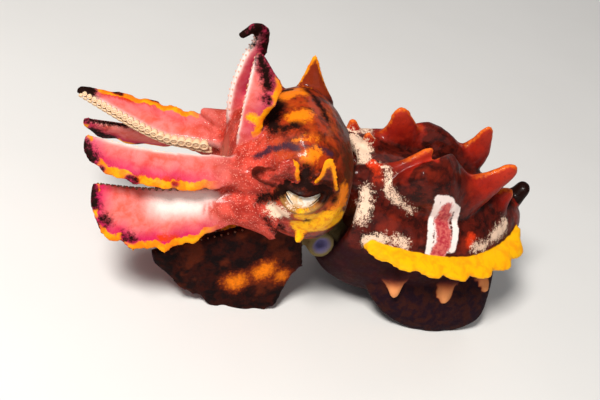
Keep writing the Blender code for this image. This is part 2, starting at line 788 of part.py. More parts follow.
def make_arm(arm, skin):
    """The root and the tip of one arm, parted by a thin square cut."""
    half_gap = GAP / 2 / Path(arm.path).length
    root = arm_length(arm, arm.name + "_root", 0.0, arm.parted - half_gap, skin)
    tip = arm_length(arm, arm.name + "_tip", arm.parted + half_gap, 1.0, skin)
    fused(root, arm_suckers(arm, 0.0, arm.parted))
    fused(tip, arm_suckers(arm, arm.parted, 1.0))
    cut(root, [head_form("head_cutter", GAP), floor_block()])
    cut(tip, [floor_block()])
    return root, tip


def clear_scene():
    """An empty scene."""
    for obj in list(bpy.data.objects):
        bpy.data.objects.remove(obj)


def stand_on_origin():
    """Moves every piece so that the middle of the whole box stands over the origin."""
    corners = [obj.matrix_world @ vertex.co for obj in bpy.data.objects for vertex in obj.data.vertices]
    middle = [(min(c[i] for c in corners) + max(c[i] for c in corners)) / 2 for i in (0, 1)]
    low = min(corner.z for corner in corners)
    for obj in bpy.data.objects:
        for vertex in obj.data.vertices:
            vertex.co -= Vector((*middle, low))
    print("moved by", [round(value / MM, 3) for value in (*middle, low)])


def main():
    clear_scene()
    maroon = finish("mantle_skin", (0.16, 0.03, 0.02), 0.4)
    orange = finish("head_skin", (0.55, 0.14, 0.04), 0.4)
    pink = finish("arm_skin", (0.75, 0.18, 0.22), 0.4)
    yellow = finish("fin_skin", (0.95, 0.55, 0.02), 0.4)
    olive = finish("funnel_skin", (0.3, 0.26, 0.14), 0.4)
    pearl = finish("eye", (0.8, 0.76, 0.62), 0.15)
    make_mantle(maroon)
    make_head(orange)
    make_mouth(pink)
    make_funnel(olive)
    for side, word in ((-1, "left"), (1, "right")):
        ball("eye_" + word, HEAD.at(on_side(EYE_CENTRE, side)), EYE_RADIUS, material=pearl)
        make_fin(side, yellow)
        make_flap(word, maroon)
    for arm in ARMS:
        make_arm(arm, pink)
    stand_on_origin()


main()
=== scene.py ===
"""A flamboyant cuttlefish, life size, walking on a pale floor with its first arms raised.

Sizes are in millimetres in the animal's own frame and are written to the scene in metres. The head frame
and the mantle frame both have x to the rear, y to the animal's right and z to its back.
"""

import sys
import logging
import math
from dataclasses import dataclass, field, replace
from enum import Enum
from functools import partial
from typing import Any, Iterable, Sequence

import bmesh
import bpy
import numpy as np
from mathutils import Euler, Matrix, Vector
from mathutils.kdtree import KDTree


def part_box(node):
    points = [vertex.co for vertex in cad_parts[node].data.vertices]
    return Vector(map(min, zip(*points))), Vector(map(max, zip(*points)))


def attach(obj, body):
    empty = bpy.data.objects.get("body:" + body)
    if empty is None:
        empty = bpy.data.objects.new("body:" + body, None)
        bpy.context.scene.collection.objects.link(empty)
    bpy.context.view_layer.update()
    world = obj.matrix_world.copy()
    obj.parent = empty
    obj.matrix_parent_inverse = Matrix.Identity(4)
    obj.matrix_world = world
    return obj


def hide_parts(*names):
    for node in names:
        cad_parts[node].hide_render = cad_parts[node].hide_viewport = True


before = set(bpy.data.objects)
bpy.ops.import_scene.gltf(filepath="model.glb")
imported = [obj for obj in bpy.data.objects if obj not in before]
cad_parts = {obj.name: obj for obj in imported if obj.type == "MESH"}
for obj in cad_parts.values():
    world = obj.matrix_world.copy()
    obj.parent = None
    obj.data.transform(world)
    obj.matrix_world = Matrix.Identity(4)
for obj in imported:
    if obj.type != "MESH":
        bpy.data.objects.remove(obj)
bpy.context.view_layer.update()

MM = 0.001
LOG = logging.getLogger("cuttlefish")

Triple = tuple[float, float, float]
Array = np.ndarray


class Side(Enum):
    """A side of the animal, with the sign of its y."""

    LEFT = -1
    RIGHT = 1

    @property
    def word(self) -> str:
        """The side as it stands in a node's name."""
        return self.name.lower()


class Region(Enum):
    """The kinds of flesh, each a weight on the skin."""

    MANTLE = "mantle"
    HEAD = "head"
    ARM = "arm"
    FOURTH = "fourth"
    FIN = "fin"
    FLAP = "flap"
    FUNNEL = "funnel"
    MOUTH = "mouth"
    EAR = "ear"


class Tint(Enum):
    """The colours that lie in patches on the skin."""

    DARK = "dark"
    CREAM = "cream"
    WHITE = "white"
    YELLOW = "yellow"
    ORANGE = "orange"
    MAGENTA = "magenta"
    RED = "red"
    VIOLET = "violet"


MEASURES = ("horn", "along", "rim", "milk", "flush", "pale")


@dataclass(frozen=True)
class Place:
    """A place and a turn that hold one part of the body, in millimetres and degrees."""

    origin: Triple
    yaw: float
    pitch: float
    roll: float

    @property
    def matrix(self) -> Array:
        """The turn as a 3 by 3 matrix."""
        angles = [math.radians(angle) for angle in (self.roll, self.pitch, self.yaw)]
        return np.array(Euler(angles).to_matrix())

    def out(self, points: Any) -> Array:
        """Points of this frame in the animal's frame."""
        return np.asarray(points, float) @ self.matrix.T + np.array(self.origin)

    def into(self, points: Any) -> Array:
        """Points of the animal's frame in this frame."""
        return (np.asarray(points, float) - np.array(self.origin)) @ self.matrix


HEAD = Place((0.0, 0.0, 33.0), yaw=-8.0, pitch=0.0, roll=0.0)
MANTLE = Place((32.6, 2.3, 25.2), yaw=1.0, pitch=7.0, roll=9.0)
EYE_CENTRE = (-1.2, 11.9, 2.6)
EYE_AXIS = (-0.12, 0.99, 0.06)
EYE_RADIUS = 5.4
LID_RISE, LID_TILT, LID_BOW = 0.45, 0.16, 0.085


def unit(vectors: Any) -> Array:
    """Vectors at length one."""
    vectors = np.asarray(vectors, float)
    return vectors / np.maximum(np.linalg.norm(vectors, axis=-1, keepdims=True), 1e-9)


def on_side(point: Sequence[float], side: Side) -> Array:
    """A point given for the right side, on the side that is wanted."""
    return np.array((point[0], point[1] * side.value, point[2]), float)


def bowed(u: Any, v: Any) -> Any:
    """Height over the bowed middle line of the eye's opening, for numbers and for values in a material."""
    return v - LID_RISE - u * LID_TILT - u * LID_BOW * u


def row_shift() -> Array:
    """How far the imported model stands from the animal's frame, in millimetres."""
    low, high = (np.array(corner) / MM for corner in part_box("eye_left"))
    return (low + high) / 2 - HEAD.out(on_side(EYE_CENTRE, Side.LEFT))


SHIFT = row_shift()


def ramp(values: Any, low: float, high: float) -> Array:
    """A smooth rise from 0 at low to 1 at high; high may be the smaller."""
    share = np.clip((np.asarray(values, float) - low) / (high - low), 0.0, 1.0)
    return share * share * (3 - 2 * share)


def circle(points: int) -> Array:
    """Angles once round, evenly spread."""
    return 2 * np.pi * np.arange(points) / points


def bent(values: Array, power: Any) -> Array:
    """Values raised to a power, with their signs kept."""
    return np.sign(values) * np.abs(values) ** power


def ripple(points: Array, size: float, seed: int) -> Array:
    """Soft unevenness from -1 to 1 through space.

    Args:
        points: Places in millimetres, one row each.
        size: About how far it is from crest to crest.
        seed: Picks the pattern.

    Returns:
        One number for each point.
    """
    rng = np.random.default_rng(seed)
    total = np.zeros(len(points))
    for _ in range(9):
        wave = unit(rng.normal(size=3)) * 2 * math.pi / (size * rng.uniform(0.7, 1.6))
        total += np.sin(points @ wave + rng.uniform(0, 2 * math.pi))
    return total / 4.2


class SizeTable:
    """Sizes given at a few stations and read along a smooth curve."""

    def __init__(self, rows: Sequence[Sequence[float]]) -> None:
        self.rows = np.array(rows, float)

    def at(self, stations: Any, column: int = 1) -> Array:
        """The sizes of one column at these stations."""
        x, y = self.rows[:, 0], self.rows[:, column]
        last = len(x) - 1
        wanted = np.clip(np.asarray(stations, float), x[0], x[-1])
        i = np.clip(np.searchsorted(x, wanted, side="right") - 1, 0, last - 1)
        before, after = np.maximum(np.arange(last + 1) - 1, 0), np.minimum(np.arange(last + 1) + 1, last)
        slopes = (y[after] - y[before]) / (x[after] - x[before])
        span = x[i + 1] - x[i]
        t = (wanted - x[i]) / span
        rise = t * t * (3 - 2 * t)
        bend = slopes[i] * t * (1 - t) ** 2 - slopes[i + 1] * t * t * (1 - t)
        return y[i] * (1 - rise) + y[i + 1] * rise + span * bend


class Path:
    """A smooth curve through a few points, read by its share of the whole length."""

    STEPS = 24

    def __init__(self, points: Any) -> None:
        corners = np.asarray(points, float)
        padded = np.vstack([corners[0] * 2 - corners[1], corners, corners[-1] * 2 - corners[-2]])
        t = (np.arange(1, self.STEPS + 1) / self.STEPS)[:, None]
        run = [corners[:1]]
        for a, b, c, d in zip(padded, padded[1:], padded[2:], padded[3:]):
            first, second = 2 * b + (c - a) * t, (2 * a - 5 * b + 4 * c - d) * t**2
            run.append(0.5 * (first + second + (3 * b - a - 3 * c + d) * t**3))
        self.points = np.vstack(run)
        steps = np.linalg.norm(np.diff(self.points, axis=0), axis=1)
        self.lengths = np.concatenate([[0.0], np.cumsum(steps)])

    @property
    def length(self) -> float:
        """The whole length."""
        return float(self.lengths[-1])

    def at(self, shares: Any) -> tuple[Array, Array]:
        """The points and the unit directions at these shares of the length."""
        wanted = np.asarray(shares, float) * self.length
        slopes = unit(np.gradient(self.points, self.lengths, axis=0))
        spots = np.stack([np.interp(wanted, self.lengths, self.points[:, k]) for k in range(3)], -1)
        ways = np.stack([np.interp(wanted, self.lengths, slopes[:, k]) for k in range(3)], -1)
        return spots, unit(ways)


@dataclass
class Form:
    """One closed form of flesh, with what the skin has to know at each of its points."""

    region: Region
    points: Array
    faces: list[tuple[int, ...]]
    measures: dict[str, Array] = field(default_factory=dict)


def loft(region: Region, rings: Array, measures: dict[str, Array] | None = None) -> Form:
    """A closed form through rings of equally many points.

    Args:
        region: The kind of flesh.
        rings: Points as (ring, point, xyz) in the animal's frame.
        measures: Values as (ring, point) or anything that spreads to that.

    Returns:
        The form, with a flat face at each end.
    """
    count, across = rings.shape[:2]
    faces: list[tuple[int, ...]] = []
    for r in range(count - 1):
        for k in range(across):
            a, b = r * across + k, r * across + (k + 1) % across
            faces.append((a, b, b + across, a + across))
    faces.append(tuple(range(across))[::-1])
    faces.append(tuple(range((count - 1) * across, count * across)))
    shape = (count, across)
    flat = {name: np.broadcast_to(values, shape).ravel() for name, values in (measures or {}).items()}
    return Form(region, rings.reshape(-1, 3), faces, flat)


def ball(region: Region, centre: Any, radius: float, levels: int = 22, points: int = 32) -> Form:
    """A closed ball of flesh."""
    height, turn = np.pi * (np.arange(levels) + 0.5) / levels, circle(points)
    rings = np.empty((levels, points, 3))
    rings[..., 0] = radius * np.sin(height)[:, None] * np.cos(turn)
    rings[..., 1] = radius * np.sin(height)[:, None] * np.sin(turn)
    rings[..., 2] = (-radius * np.cos(height))[:, None]
    return loft(region, rings + np.asarray(centre))


def as_mesh(name: str, points: Array, faces: Iterable[Sequence[int]]) -> bpy.types.Object:
    """A mesh object from points in millimetres, with its faces turned outwards."""
    mesh = bpy.data.meshes.new(name)
    mesh.from_pydata(((points + SHIFT) * MM).tolist(), [], list(faces))
    mesh.validate()
    shape = bmesh.new()
    shape.from_mesh(mesh)
    bmesh.ops.recalc_face_normals(shape, faces=shape.faces)
    shape.to_mesh(mesh)
    shape.free()
    obj = bpy.data.objects.new(name, mesh)
    bpy.context.scene.collection.objects.link(obj)
    return obj


def applied(obj: bpy.types.Object) -> bpy.types.Object:
    """The object with its modifiers made part of its mesh."""
    graph = bpy.context.evaluated_depsgraph_get()
    mesh = bpy.data.meshes.new_from_object(obj.evaluated_get(graph))
    obj.modifiers.clear()
    old, obj.data = obj.data, mesh
    bpy.data.meshes.remove(old)
    return obj


def smooth_shading(mesh: bpy.types.Mesh) -> None:
    """Shades the whole mesh smoothly."""
    mesh.polygons.foreach_set("use_smooth", [True] * len(mesh.polygons))
    mesh.update()


def add_node(tree: bpy.types.NodeTree, kind: str, settings: Any = None, values: Any = None) -> bpy.types.Node:
    """A node in a tree.

    Args:
        tree: The tree.
        kind: The node's type.
        settings: What is set on the node itself, before its sockets.
        values: A value or a link for each named or numbered input.

    Returns:
        The node.
    """
    node = tree.nodes.new(kind)
    for key, value in (settings or {}).items():
        setattr(node, key, value)
    for key, value in (values or {}).items():
        value = getattr(value, "socket", value)
        if isinstance(value, bpy.types.NodeSocket):
            tree.links.new(value, node.inputs[key])
        else:
            node.inputs[key].default_value = value
    return node


def add_values(mesh: bpy.types.Mesh, name: str, values: Array) -> None:
    """A number at each point of a mesh, under a name that a material reads."""
    layer = mesh.attributes.new(name, "FLOAT", "POINT")
    layer.data.foreach_set("value", np.asarray(values, np.float32))


# forms of flesh


@dataclass(frozen=True)
class Horn:
    """One papilla of the skin: where it grows in its frame, and how it is coloured."""

    root: Triple
    tip: Triple
    width: float
    thickness: float
    bend: Triple = (0.0, 0.0, 0.0)
    across: Triple = (1.0, 0.0, 0.0)
    pale: float = 0.0
    cup: float = 0.0
    blunt: float = 0.3
    flare: float = 0.55
    rimmed: tuple[bool, bool] = (True, True)
    sweep: float = 0.0

    SUNK = 4.6
    UNRIMMED = 9.0

    def form(self, place: Place, region: Region) -> Form:
        """The papilla as a soft tapered form, sunk into the body at its root.

        Args:
            place: The frame that it grows in.
            region: The kind of flesh.

        Returns:
            The closed form, with its share of height and its rim.
        """
        root, tip = np.array(self.root), np.array(self.tip)
        middle = (root + tip) / 2 + np.array(self.bend)
        inward = unit((0.0, -root[1], -root[2]))
        path = Path((root + inward * self.SUNK, root, middle, tip))
        rooted = self.SUNK / path.length
        shares = np.concatenate([np.linspace(0, 0.9, 22), 1 - 0.1 * (1 - np.linspace(0.15, 1, 8)) ** 2])
        up = np.clip((shares - rooted) / (1 - rooted), 0, 1)
        taper = 1 - (1 - self.blunt) * up**0.85 + self.flare * (1 - up) ** 4
        tipped = np.sqrt(np.clip(1 - ((shares - 0.9) / 0.1).clip(0, 1) ** 2, 0.004, 1))
        spots, ways = path.at(shares)
        side = unit(np.array(self.across) - ways * (ways @ np.array(self.across))[:, None])
        other = np.cross(ways, side)
        turn = circle(24)
        half = self.width / 2 * taper * tipped
        thick = self.thickness / 2 * taper * tipped
        u = half[:, None] * np.cos(turn)
        u = u * (1 + self.sweep * ((1 - up) ** 2.5)[:, None] * (np.cos(turn) < 0))
        bow = self.cup * (half * np.sin(np.pi * up**0.8))[:, None] * np.cos(turn) ** 2
        v = thick[:, None] * np.sin(turn) + bow
        rings = spots[:, None] + side[:, None] * u[..., None] + other[:, None] * v[..., None]
        edge = half[:, None] * (1 - np.abs(np.cos(turn))) + (1 - up)[:, None] * 0.6
        edge = np.minimum(edge, ((1 - up) * path.length * (1 - rooted))[:, None])
        edge = edge + self.UNRIMMED * np.where(np.cos(turn) < 0, not self.rimmed[0], not self.rimmed[1])
        measures = {"horn": up[:, None], "rim": edge, "pale": np.full((1, 1), self.pale)}
        return loft(region, place.out(rings), measures)


@dataclass(frozen=True)
class Mantle:
    """The body behind the head, with its papillae and the open collar that the neck comes out of."""

    sizes: tuple = (
        (-22.0, 14.2, 10.4, 16.4),
        (-17.0, 15.8, 10.5, 20.8),
        (-9.0, 17.0, 10.2, 23.4),
        (-1.0, 17.2, 9.8, 23.0),
        (6.0, 16.4, 9.2, 21.2),
        (12.0, 14.2, 8.4, 18.2),
        (17.0, 11.2, 7.2, 14.2),
        (21.0, 8.0, 5.6, 9.8),
        (24.4, 4.8, 3.8, 5.8),
        (26.2, 2.2, 2.0, 2.8),
    )
    back_fullness: float = 1.75
    belly_fullness: float = 2.6
    collar_wall: float = 1.7
    collar_floor: float = -19.4
    rings: int = 70
    points: int = 112

    back_horns: tuple[Horn, ...] = (
        Horn((-19.0, -4.0, 8.6), (-20.6, -4.2, 12.6), 5.0, 4.0),
        Horn((-18.6, 9.0, 5.6), (-21.6, 9.4, 10.8), 5.4, 4.2),
        Horn((-18.2, 3.0, 9.4), (-20.6, 3.0, 13.6), 4.6, 3.6),
        Horn((-13.8, -5.4, 7.8), (-9.8, -4.4, 19.4), 9.0, 5.2, bend=(-0.4, 0, -0.8), blunt=0.2, sweep=0.7),
        Horn((-9.5, 7.6, 6.2), (-13.0, 9.0, 17.2), 12.6, 6.0, bend=(1.6, 0, -1.0), blunt=0.24, sweep=0.8),
        Horn((-0.6, -6.6, 7.4), (11.0, -5.0, 20.0), 13.4, 7.0, bend=(0.4, 0, -2.4), blunt=0.26, sweep=0.6),
        Horn((6.6, 6.8, 5.6), (10.0, 8.5, 18.4), 12.0, 6.0, bend=(1.8, 0, -1.6), blunt=0.22, sweep=0.9),
        Horn((14.0, -3.8, 5.4), (16.6, -2.6, 11.0), 8.0, 5.0),
        Horn(
            (20.4, 1.2, 2.4), (24.4, 2.4, 9.2), 6.6, 5.4,
            bend=(0.8, 0, -0.6), across=(0, 1, 0), blunt=0.5, pale=2.0,
        ),
    )
    belly_horns: tuple[Horn, ...] = (
        Horn((-6.2, 15.0, -8.6), (-5.0, 18.6, -13.2), 6.0, 4.8, pale=1.0),
        Horn((7.2, 14.0, -8.4), (8.0, 18.4, -12.6), 5.6, 4.6, pale=1.0),
        Horn((14.6, 11.6, -6.0), (18.8, 16.0, -9.4), 4.8, 4.2, pale=1.0),
    )

    def width(self, stations: Any) -> Array:
        """Half the width of the body at these stations."""
        return SizeTable(self.sizes).at(stations)

    def section(self, stations: Array, grown: float = 0.0) -> Array:
        """The outlines across the body at these stations, grown outwards all round."""
        table = SizeTable(self.sizes)
        width, back, belly = (table.at(stations, column)[:, None] + grown for column in (1, 2, 3))
        side, rise = np.cos(circle(self.points)), np.sin(circle(self.points))
        power = np.where(rise > 0, 2 / self.back_fullness, 2 / self.belly_fullness)
        ring = np.empty((len(stations), self.points, 3))
        ring[..., 0] = np.asarray(stations)[:, None]
        ring[..., 1] = width * bent(side, power)
        ring[..., 2] = np.where(rise > 0, back, belly) * bent(rise, power)
        return ring

    def body(self) -> Form:
        """The body with a rounded collar rim, its collar's inside and a rounded tail."""
        front, end = self.sizes[0][0], self.sizes[-1][0]
        run = np.sin(0.5 * np.pi * np.linspace(0, 1, self.rings)) * 0.6 + 0.4 * np.linspace(0, 1, self.rings)
        outer = self.section(front + 0.5 + (end - front - 0.5) * run, -0.1)
        wall = self.collar_wall
        lip = []
        for turn in np.linspace(np.pi, 0, 7):
            inset = -0.1 - wall / 2 + wall / 2 * math.cos(turn)
            lip.append(self.section(np.array([front]), inset))
            lip[-1][..., 0] += 0.5 - 0.5 * math.sin(turn)
        floor = self.section(np.array([front]), -wall - 0.1)
        floor[..., 0] = self.collar_floor
        tail = self.section(np.array([end]), -0.1)
        caps = []
        for share in (0.75, 0.45, 0.15):
            cap = tail.copy()
            cap[..., 1:] *= share
            cap[..., 0] += 0.5 * (1 - share)
            caps.append(cap)
        rings = np.concatenate([floor, *lip, outer, *caps])
        return loft(Region.MANTLE, MANTLE.out(rings))

    def forms(self) -> list[Form]:
        """The body and all of its papillae."""
        belly = [
            replace(horn, root=tuple(on_side(horn.root, side)), tip=tuple(on_side(horn.tip, side)))
            for horn in self.belly_horns
            for side in Side
        ]
        return [self.body()] + [horn.form(MANTLE, Region.MANTLE) for horn in (*self.back_horns, *belly)]


@dataclass(frozen=True)
class Head:
    """The head from the ring of arms to the neck, with its eye mounds, lids and papillae."""

    sizes: tuple = (
        (-16.0, 6.0, 5.5, 6.0),
        (-15.0, 8.4, 8.0, 8.6),
        (-12.0, 10.6, 10.8, 10.6),
        (-8.0, 13.0, 13.6, 12.0),
        (-3.0, 15.8, 15.6, 13.2),
        (1.5, 16.8, 14.6, 13.6),
        (5.5, 16.0, 12.0, 12.8),
        (8.8, 12.6, 8.6, 10.4),
    )
    crown_fullness: float = 2.3
    neck_half_width: float = 8.8
    neck_half_height: float = 5.6
    neck_lift: float = 1.4
    neck_start: float = -23.3
    neck_end: float = -18.6
    mound_cover: float = 1.0
    lid_length: float = 4.2
    lid_height: float = 1.75
    lid_roll: float = 0.22
    points: int = 84

    swellings: tuple = (
        ((-7.0, 4.0, 5.0), (-13.0, 4.6, 10.4), 6.6, 1.2),
        ((-7.0, 7.6, 1.0), (-20.4, 10.4, 2.0), 6.8, 1.0),
        ((-6.0, 8.0, -4.6), (-22.0, 11.6, -7.4), 8.2, 0.9),
    )
    spikes: tuple[Horn, ...] = (
        Horn((1.0, -13.6, -3.6), (0.3, -16.6, -7.4), 4.6, 3.2, pale=2.0),
        Horn((1.0, 13.6, -3.6), (0.3, 16.6, -7.4), 4.6, 3.2, pale=2.0),
    )
    ears: tuple[Horn, ...] = (
        Horn((1.8, -13.2, 6.0), (0.3, -16.4, 14.4), 6.4, 1.9, bend=(0.5, -1.0, 0), cup=-0.6, flare=0.3),
        Horn(
            (-6.0, -12.6, 5.0), (-6.4, -15.8, 12.0), 7.4, 2.4,
            bend=(0, -1.0, 0), cup=-0.35, blunt=0.5, pale=4.0, rimmed=(False, True),
        ),
        Horn(
            (0.4, 9.8, 10.6), (-1.3, 11.2, 20.4), 8.2, 4.0,
            bend=(0.0, 0.4, 0), blunt=0.12, flare=0.25, pale=3.0,
        ),
        Horn((-7.4, 9.4, 9.4), (-8.3, 10.6, 13.8), 6.2, 3.2, pale=3.0),
    )

    def body(self) -> Form:
        """The head and its neck."""
        table = SizeTable(self.sizes)
        stations = np.linspace(self.sizes[0][0], self.sizes[-1][0], 44)
        width, crown, throat = (table.at(stations, column)[:, None] for column in (1, 2, 3))
        side, rise = np.cos(circle(self.points)), np.sin(circle(self.points))
        power = np.where(rise > 0, 2 / self.crown_fullness, 1.0)
        ring = np.empty((len(stations), self.points, 3))
        ring[..., 0] = stations[:, None]
        ring[..., 1] = (width - 0.1) * bent(side, power)
        ring[..., 2] = (np.where(rise > 0, crown, throat) - 0.1) * bent(rise, power)
        neck = []
        for station in (self.neck_start, self.neck_end):
            loop = np.empty((self.points, 3))
            loop[:, 0] = station
            loop[:, 1] = self.neck_half_width * side
            loop[:, 2] = self.neck_lift + self.neck_half_height * rise
            neck.append(MANTLE.out(loop))
        start, end = HEAD.out(ring[-1]), neck[0]
        between = [start + (end - start) * share for share in (0.25, 0.5, 0.75)]
        rings = np.concatenate([HEAD.out(ring), np.array(between), np.array(neck)])
        return loft(Region.HEAD, rings)

    def eye_frame(self, side: Side) -> tuple[Array, Array, Array, Array]:
        """The eye's middle in the head, and its axis outwards, length and height as unit vectors."""
        centre, axis = on_side(EYE_CENTRE, side), unit(on_side(EYE_AXIS, side))
        along = unit(np.array((1.0, 0, 0)) - axis * axis[0])
        return centre, axis, along, np.cross(along, axis) * side.value

    def eye_share(self, local: Array, side: Side) -> Array:
        """How far out from the middle of the eye's opening each point lies; 1 is the edge of the lids.

        Args:
            local: Places in the head frame.
            side: Which eye.

        Returns:
            One number for each point, and 9 for what lies behind the eye.
        """
        centre, axis, along, above = self.eye_frame(side)
        rel = local - centre
        u, v = rel @ along, rel @ above
        wide, high = np.abs(u / self.lid_length), np.abs(bowed(u, v) / self.lid_height)
        share = (wide**3.2 + high**2.2) ** (1 / 2.6)
        near = (rel @ axis > 0) & (np.linalg.norm(rel, axis=1) < EYE_RADIUS + 4.0)
        return np.where(near, share, 9.0)

    def lidded(self, local: Array) -> Array:
        """The skin's points with both eyes' lids raised and the skin tucked in under the lids.

        Args:
            local: Places in the head frame.

        Returns:
            The moved places.
        """
        moved = local.copy()
        for side in Side:
            centre = self.eye_frame(side)[0]
            share = self.eye_share(local, side)
            rel = local - centre
            away = np.linalg.norm(rel, axis=1)
            lip = self.lid_roll * np.exp(-(((share - 1.13) / 0.17) ** 2))
            outer = away + lip
            inner = EYE_RADIUS - 0.9
            radius = outer + (inner - outer) * ramp(share, 1.0, 0.82)
            touched = share < 2.2
            moved[touched] = (centre + rel / away[:, None] * radius[:, None])[touched]
        return moved

    def swelling(self, start: Triple, end: Triple, first: float, last: float, side: Side) -> Form:
        """A soft tapered swelling from inside the head to the root of an arm."""
        a, b = on_side(start, side), on_side(end, side)
        way = unit(b - a)
        across = unit(np.cross(way, (0.0, 0.3, 1.0)))
        above = np.cross(way, across)
        ring = np.outer(np.cos(circle(36)), across) + np.outer(np.sin(circle(36)), above)
        run = [(a + (b - a) * share, first + (last - first) * share**0.7) for share in np.linspace(0, 1, 18)]
        run += [(b + way * last * share, last * math.sqrt(1 - share * share)) for share in (0.4, 0.75, 0.95)]
        rings = np.array([centre + radius * ring for centre, radius in run])
        along = np.concatenate([np.linspace(0, 0.32, 18), [0.34, 0.36, 0.38]])
        return loft(Region.ARM, HEAD.out(rings), {"along": along[:, None]})

    def forms(self) -> list[Form]:
        """The head's closed forms, without the eyes' openings."""
        made = [self.body()]
        made += [self.swelling(*swelling, side) for swelling in self.swellings for side in Side]
        made += [horn.form(HEAD, Region.HEAD) for horn in self.spikes]
        made += [horn.form(HEAD, Region.EAR) for horn in self.ears]
        mound = EYE_RADIUS + self.mound_cover
        return made + [ball(Region.HEAD, HEAD.out(on_side(EYE_CENTRE, side)), mound) for side in Side]


@dataclass(frozen=True)
class Arm:
    """One arm: its path in the head, the way that its keel points, and its sizes."""

    name: str
    path: tuple[Triple, ...]
    keels: tuple[Triple, Triple, Triple]
    reaches: tuple[tuple[float, float], ...]
    thickness: float = 3.8
    region: Region = Region.ARM
    wave: float = 0.35
    web: tuple[float, float] = (1.0, 1.0)
    milk: tuple[float, float] = (0.8, 3.0)
    milk_run: tuple[float, float] = (0.1, 0.95)
    flush: float = 0.9
    sucker_tone: float = 0.0
    sucker_scale: float = 0.82
    rings: int = 60
    points: int = 72

    TAPER = 0.62
    EDGE = 0.95
    SUCKER_PITCH = 1.72

    def mirrored(self, name: str) -> "Arm":
        """The same arm on the other side, under its own name."""
        path, keels = (tuple((x, -y, z) for x, y, z in rows) for rows in (self.path, self.keels))
        return replace(self, name=name, path=path, keels=keels)

    def axes(self, shares: Array) -> tuple[Array, Array, Array, Array]:
        """The middle of the arm with its direction, keel and side at shares of its length."""
        spots, ways = Path(self.path).at(shares)
        first, middle, last = (unit(keel) for keel in self.keels)
        t = np.asarray(shares)[:, None]
        keel = np.where(t < 0.5, first + (middle - first) * t / 0.5, middle + (last - middle) * (t / 0.5 - 1))
        keel = unit(keel - ways * (keel * ways).sum(1, keepdims=True))
        return spots, ways, keel, np.cross(ways, keel)

    def oral(self, shares: Array) -> Array:
        """Half the thickness of the arm where its suckers sit."""
        return self.thickness / 2 * (1 - self.TAPER * np.clip(shares, 0, 1) ** 1.4)

    def form(self) -> Form:
        """The arm: grooved where the suckers sit, thin and wavy at its keel."""
        shares = np.concatenate([np.linspace(0, 0.97, self.rings), [0.985, 0.995, 1.0]])
        spots, ways, keel, beside = self.axes(shares)
        oral = self.oral(shares)[:, None]
        length = Path(self.path).length
        seed = sum(ord(letter) for letter in self.name)
        swell = 0.035 * np.sin(shares * length / 5.2 * 2 * np.pi + seed)
        swell = swell + 0.025 * np.sin(shares * length / 2.9 * 2 * np.pi)
        reach = (SizeTable(self.reaches).at(shares) * (1 + swell * ramp(shares, 0.1, 0.3)))[:, None]
        deep, turn = reach + oral, circle(self.points)
        aboral, round_about = np.cos(turn), np.sin(turn)
        out = (reach - oral) / 2 + aboral * deep / 2
        far = np.clip((out + oral) / deep, 0, 1)
        rim = deep * (1 - far)
        half = oral + (self.EDGE / 2 - oral) * far**0.8 + 0.14 * np.exp(-((rim - 0.5) / 0.55) ** 2)
        across = bent(round_about, np.where(aboral < 0, 0.8 - 0.35 * aboral**2, 0.8))
        size = oral / (self.thickness / 2) * ramp(shares, 0.02, 0.22)[:, None]
        groove = ramp(np.abs(across), 0.86, 0.62) * (aboral < 0)
        crest = ramp(np.abs(across), 0.45, 0.95) * (aboral < -0.2)
        height = np.where(round_about > 0, self.web[0], self.web[1])
        out = out + (0.35 * groove - height * crest * (1 - groove)) * size
        sway = self.wave * far**2 * np.sin(shares * length / 6.4 * 2 * np.pi + seed * 0.7)[:, None]
        side = half * 1.2 * across + sway
        rings = spots[:, None] + keel[:, None] * out[..., None] + beside[:, None] * side[..., None]
        self.round_ends(rings, ways[0], beside[3])
        open_run = ramp(shares, self.milk_run[0] - 0.1, self.milk_run[0] + 0.1)
        open_run = open_run * ramp(shares, self.milk_run[1] + 0.08, self.milk_run[1] - 0.1)
        rim = np.minimum(rim, ((1 - shares) * length)[:, None] + 0.3)
        milk = ramp(deep * far, self.milk[1], self.milk[0]) * open_run[:, None]
        flush = ramp(rim, 5.4, 1.6) * self.flush * ramp(shares, 0.2, 0.5)[:, None]
        measures = {"along": shares[:, None], "rim": rim, "milk": milk, "flush": flush}
        return loft(self.region, HEAD.out(rings), measures)

    def round_ends(self, rings: Array, way: Array, beside: Array) -> None:
        """Draws the first three rings in to a rounded root, and the last one to a small tip.

        Args:
            rings: The arm's rings, which are changed.
            way: The arm's direction at its root.
            beside: Its side there.
        """
        near, model = rings[0].mean(0), rings[3].copy()
        thin = (model - model.mean(0)) @ beside
        for k, back in enumerate((1.3, 1.1, 0.7)):
            drawn = math.sqrt(max(1 - (back / 1.35) ** 2, 0.03))
            shift = near - model.mean(0)
            rings[k] = model - np.outer(thin, beside) * (1 - drawn) - way * (back - 0.2) + shift
        last = rings[-1].mean(0)
        rings[-1] = last + (rings[-1] - last) * 0.35

    def sucker_seats(self) -> list[tuple[Array, Array, float, float]]:
        """Where each sucker sits, how it leans, how big it is and its tone."""
        length = Path(self.path).length
        share, row, seats = 0.27, 1, []
        while share < 0.975:
            shares = np.array([share])
            size = float(self.oral(shares)[0]) / (self.thickness / 2)
            scale = size * self.sucker_scale
            spots, _, keel, beside = self.axes(shares)
            oral = self.oral(shares)[0]
            lean = unit(-keel[0] * 0.92 + beside[0] * 0.36 * row)
            foot = spots[0] - keel[0] * oral * 0.5 + beside[0] * row * oral * 0.44
            seats.append((HEAD.out(foot), lean @ HEAD.matrix.T, scale, self.sucker_tone))
            share += self.SUCKER_PITCH * (0.35 + 0.65 * size) * 0.5 / length
            row = -row
        return seats


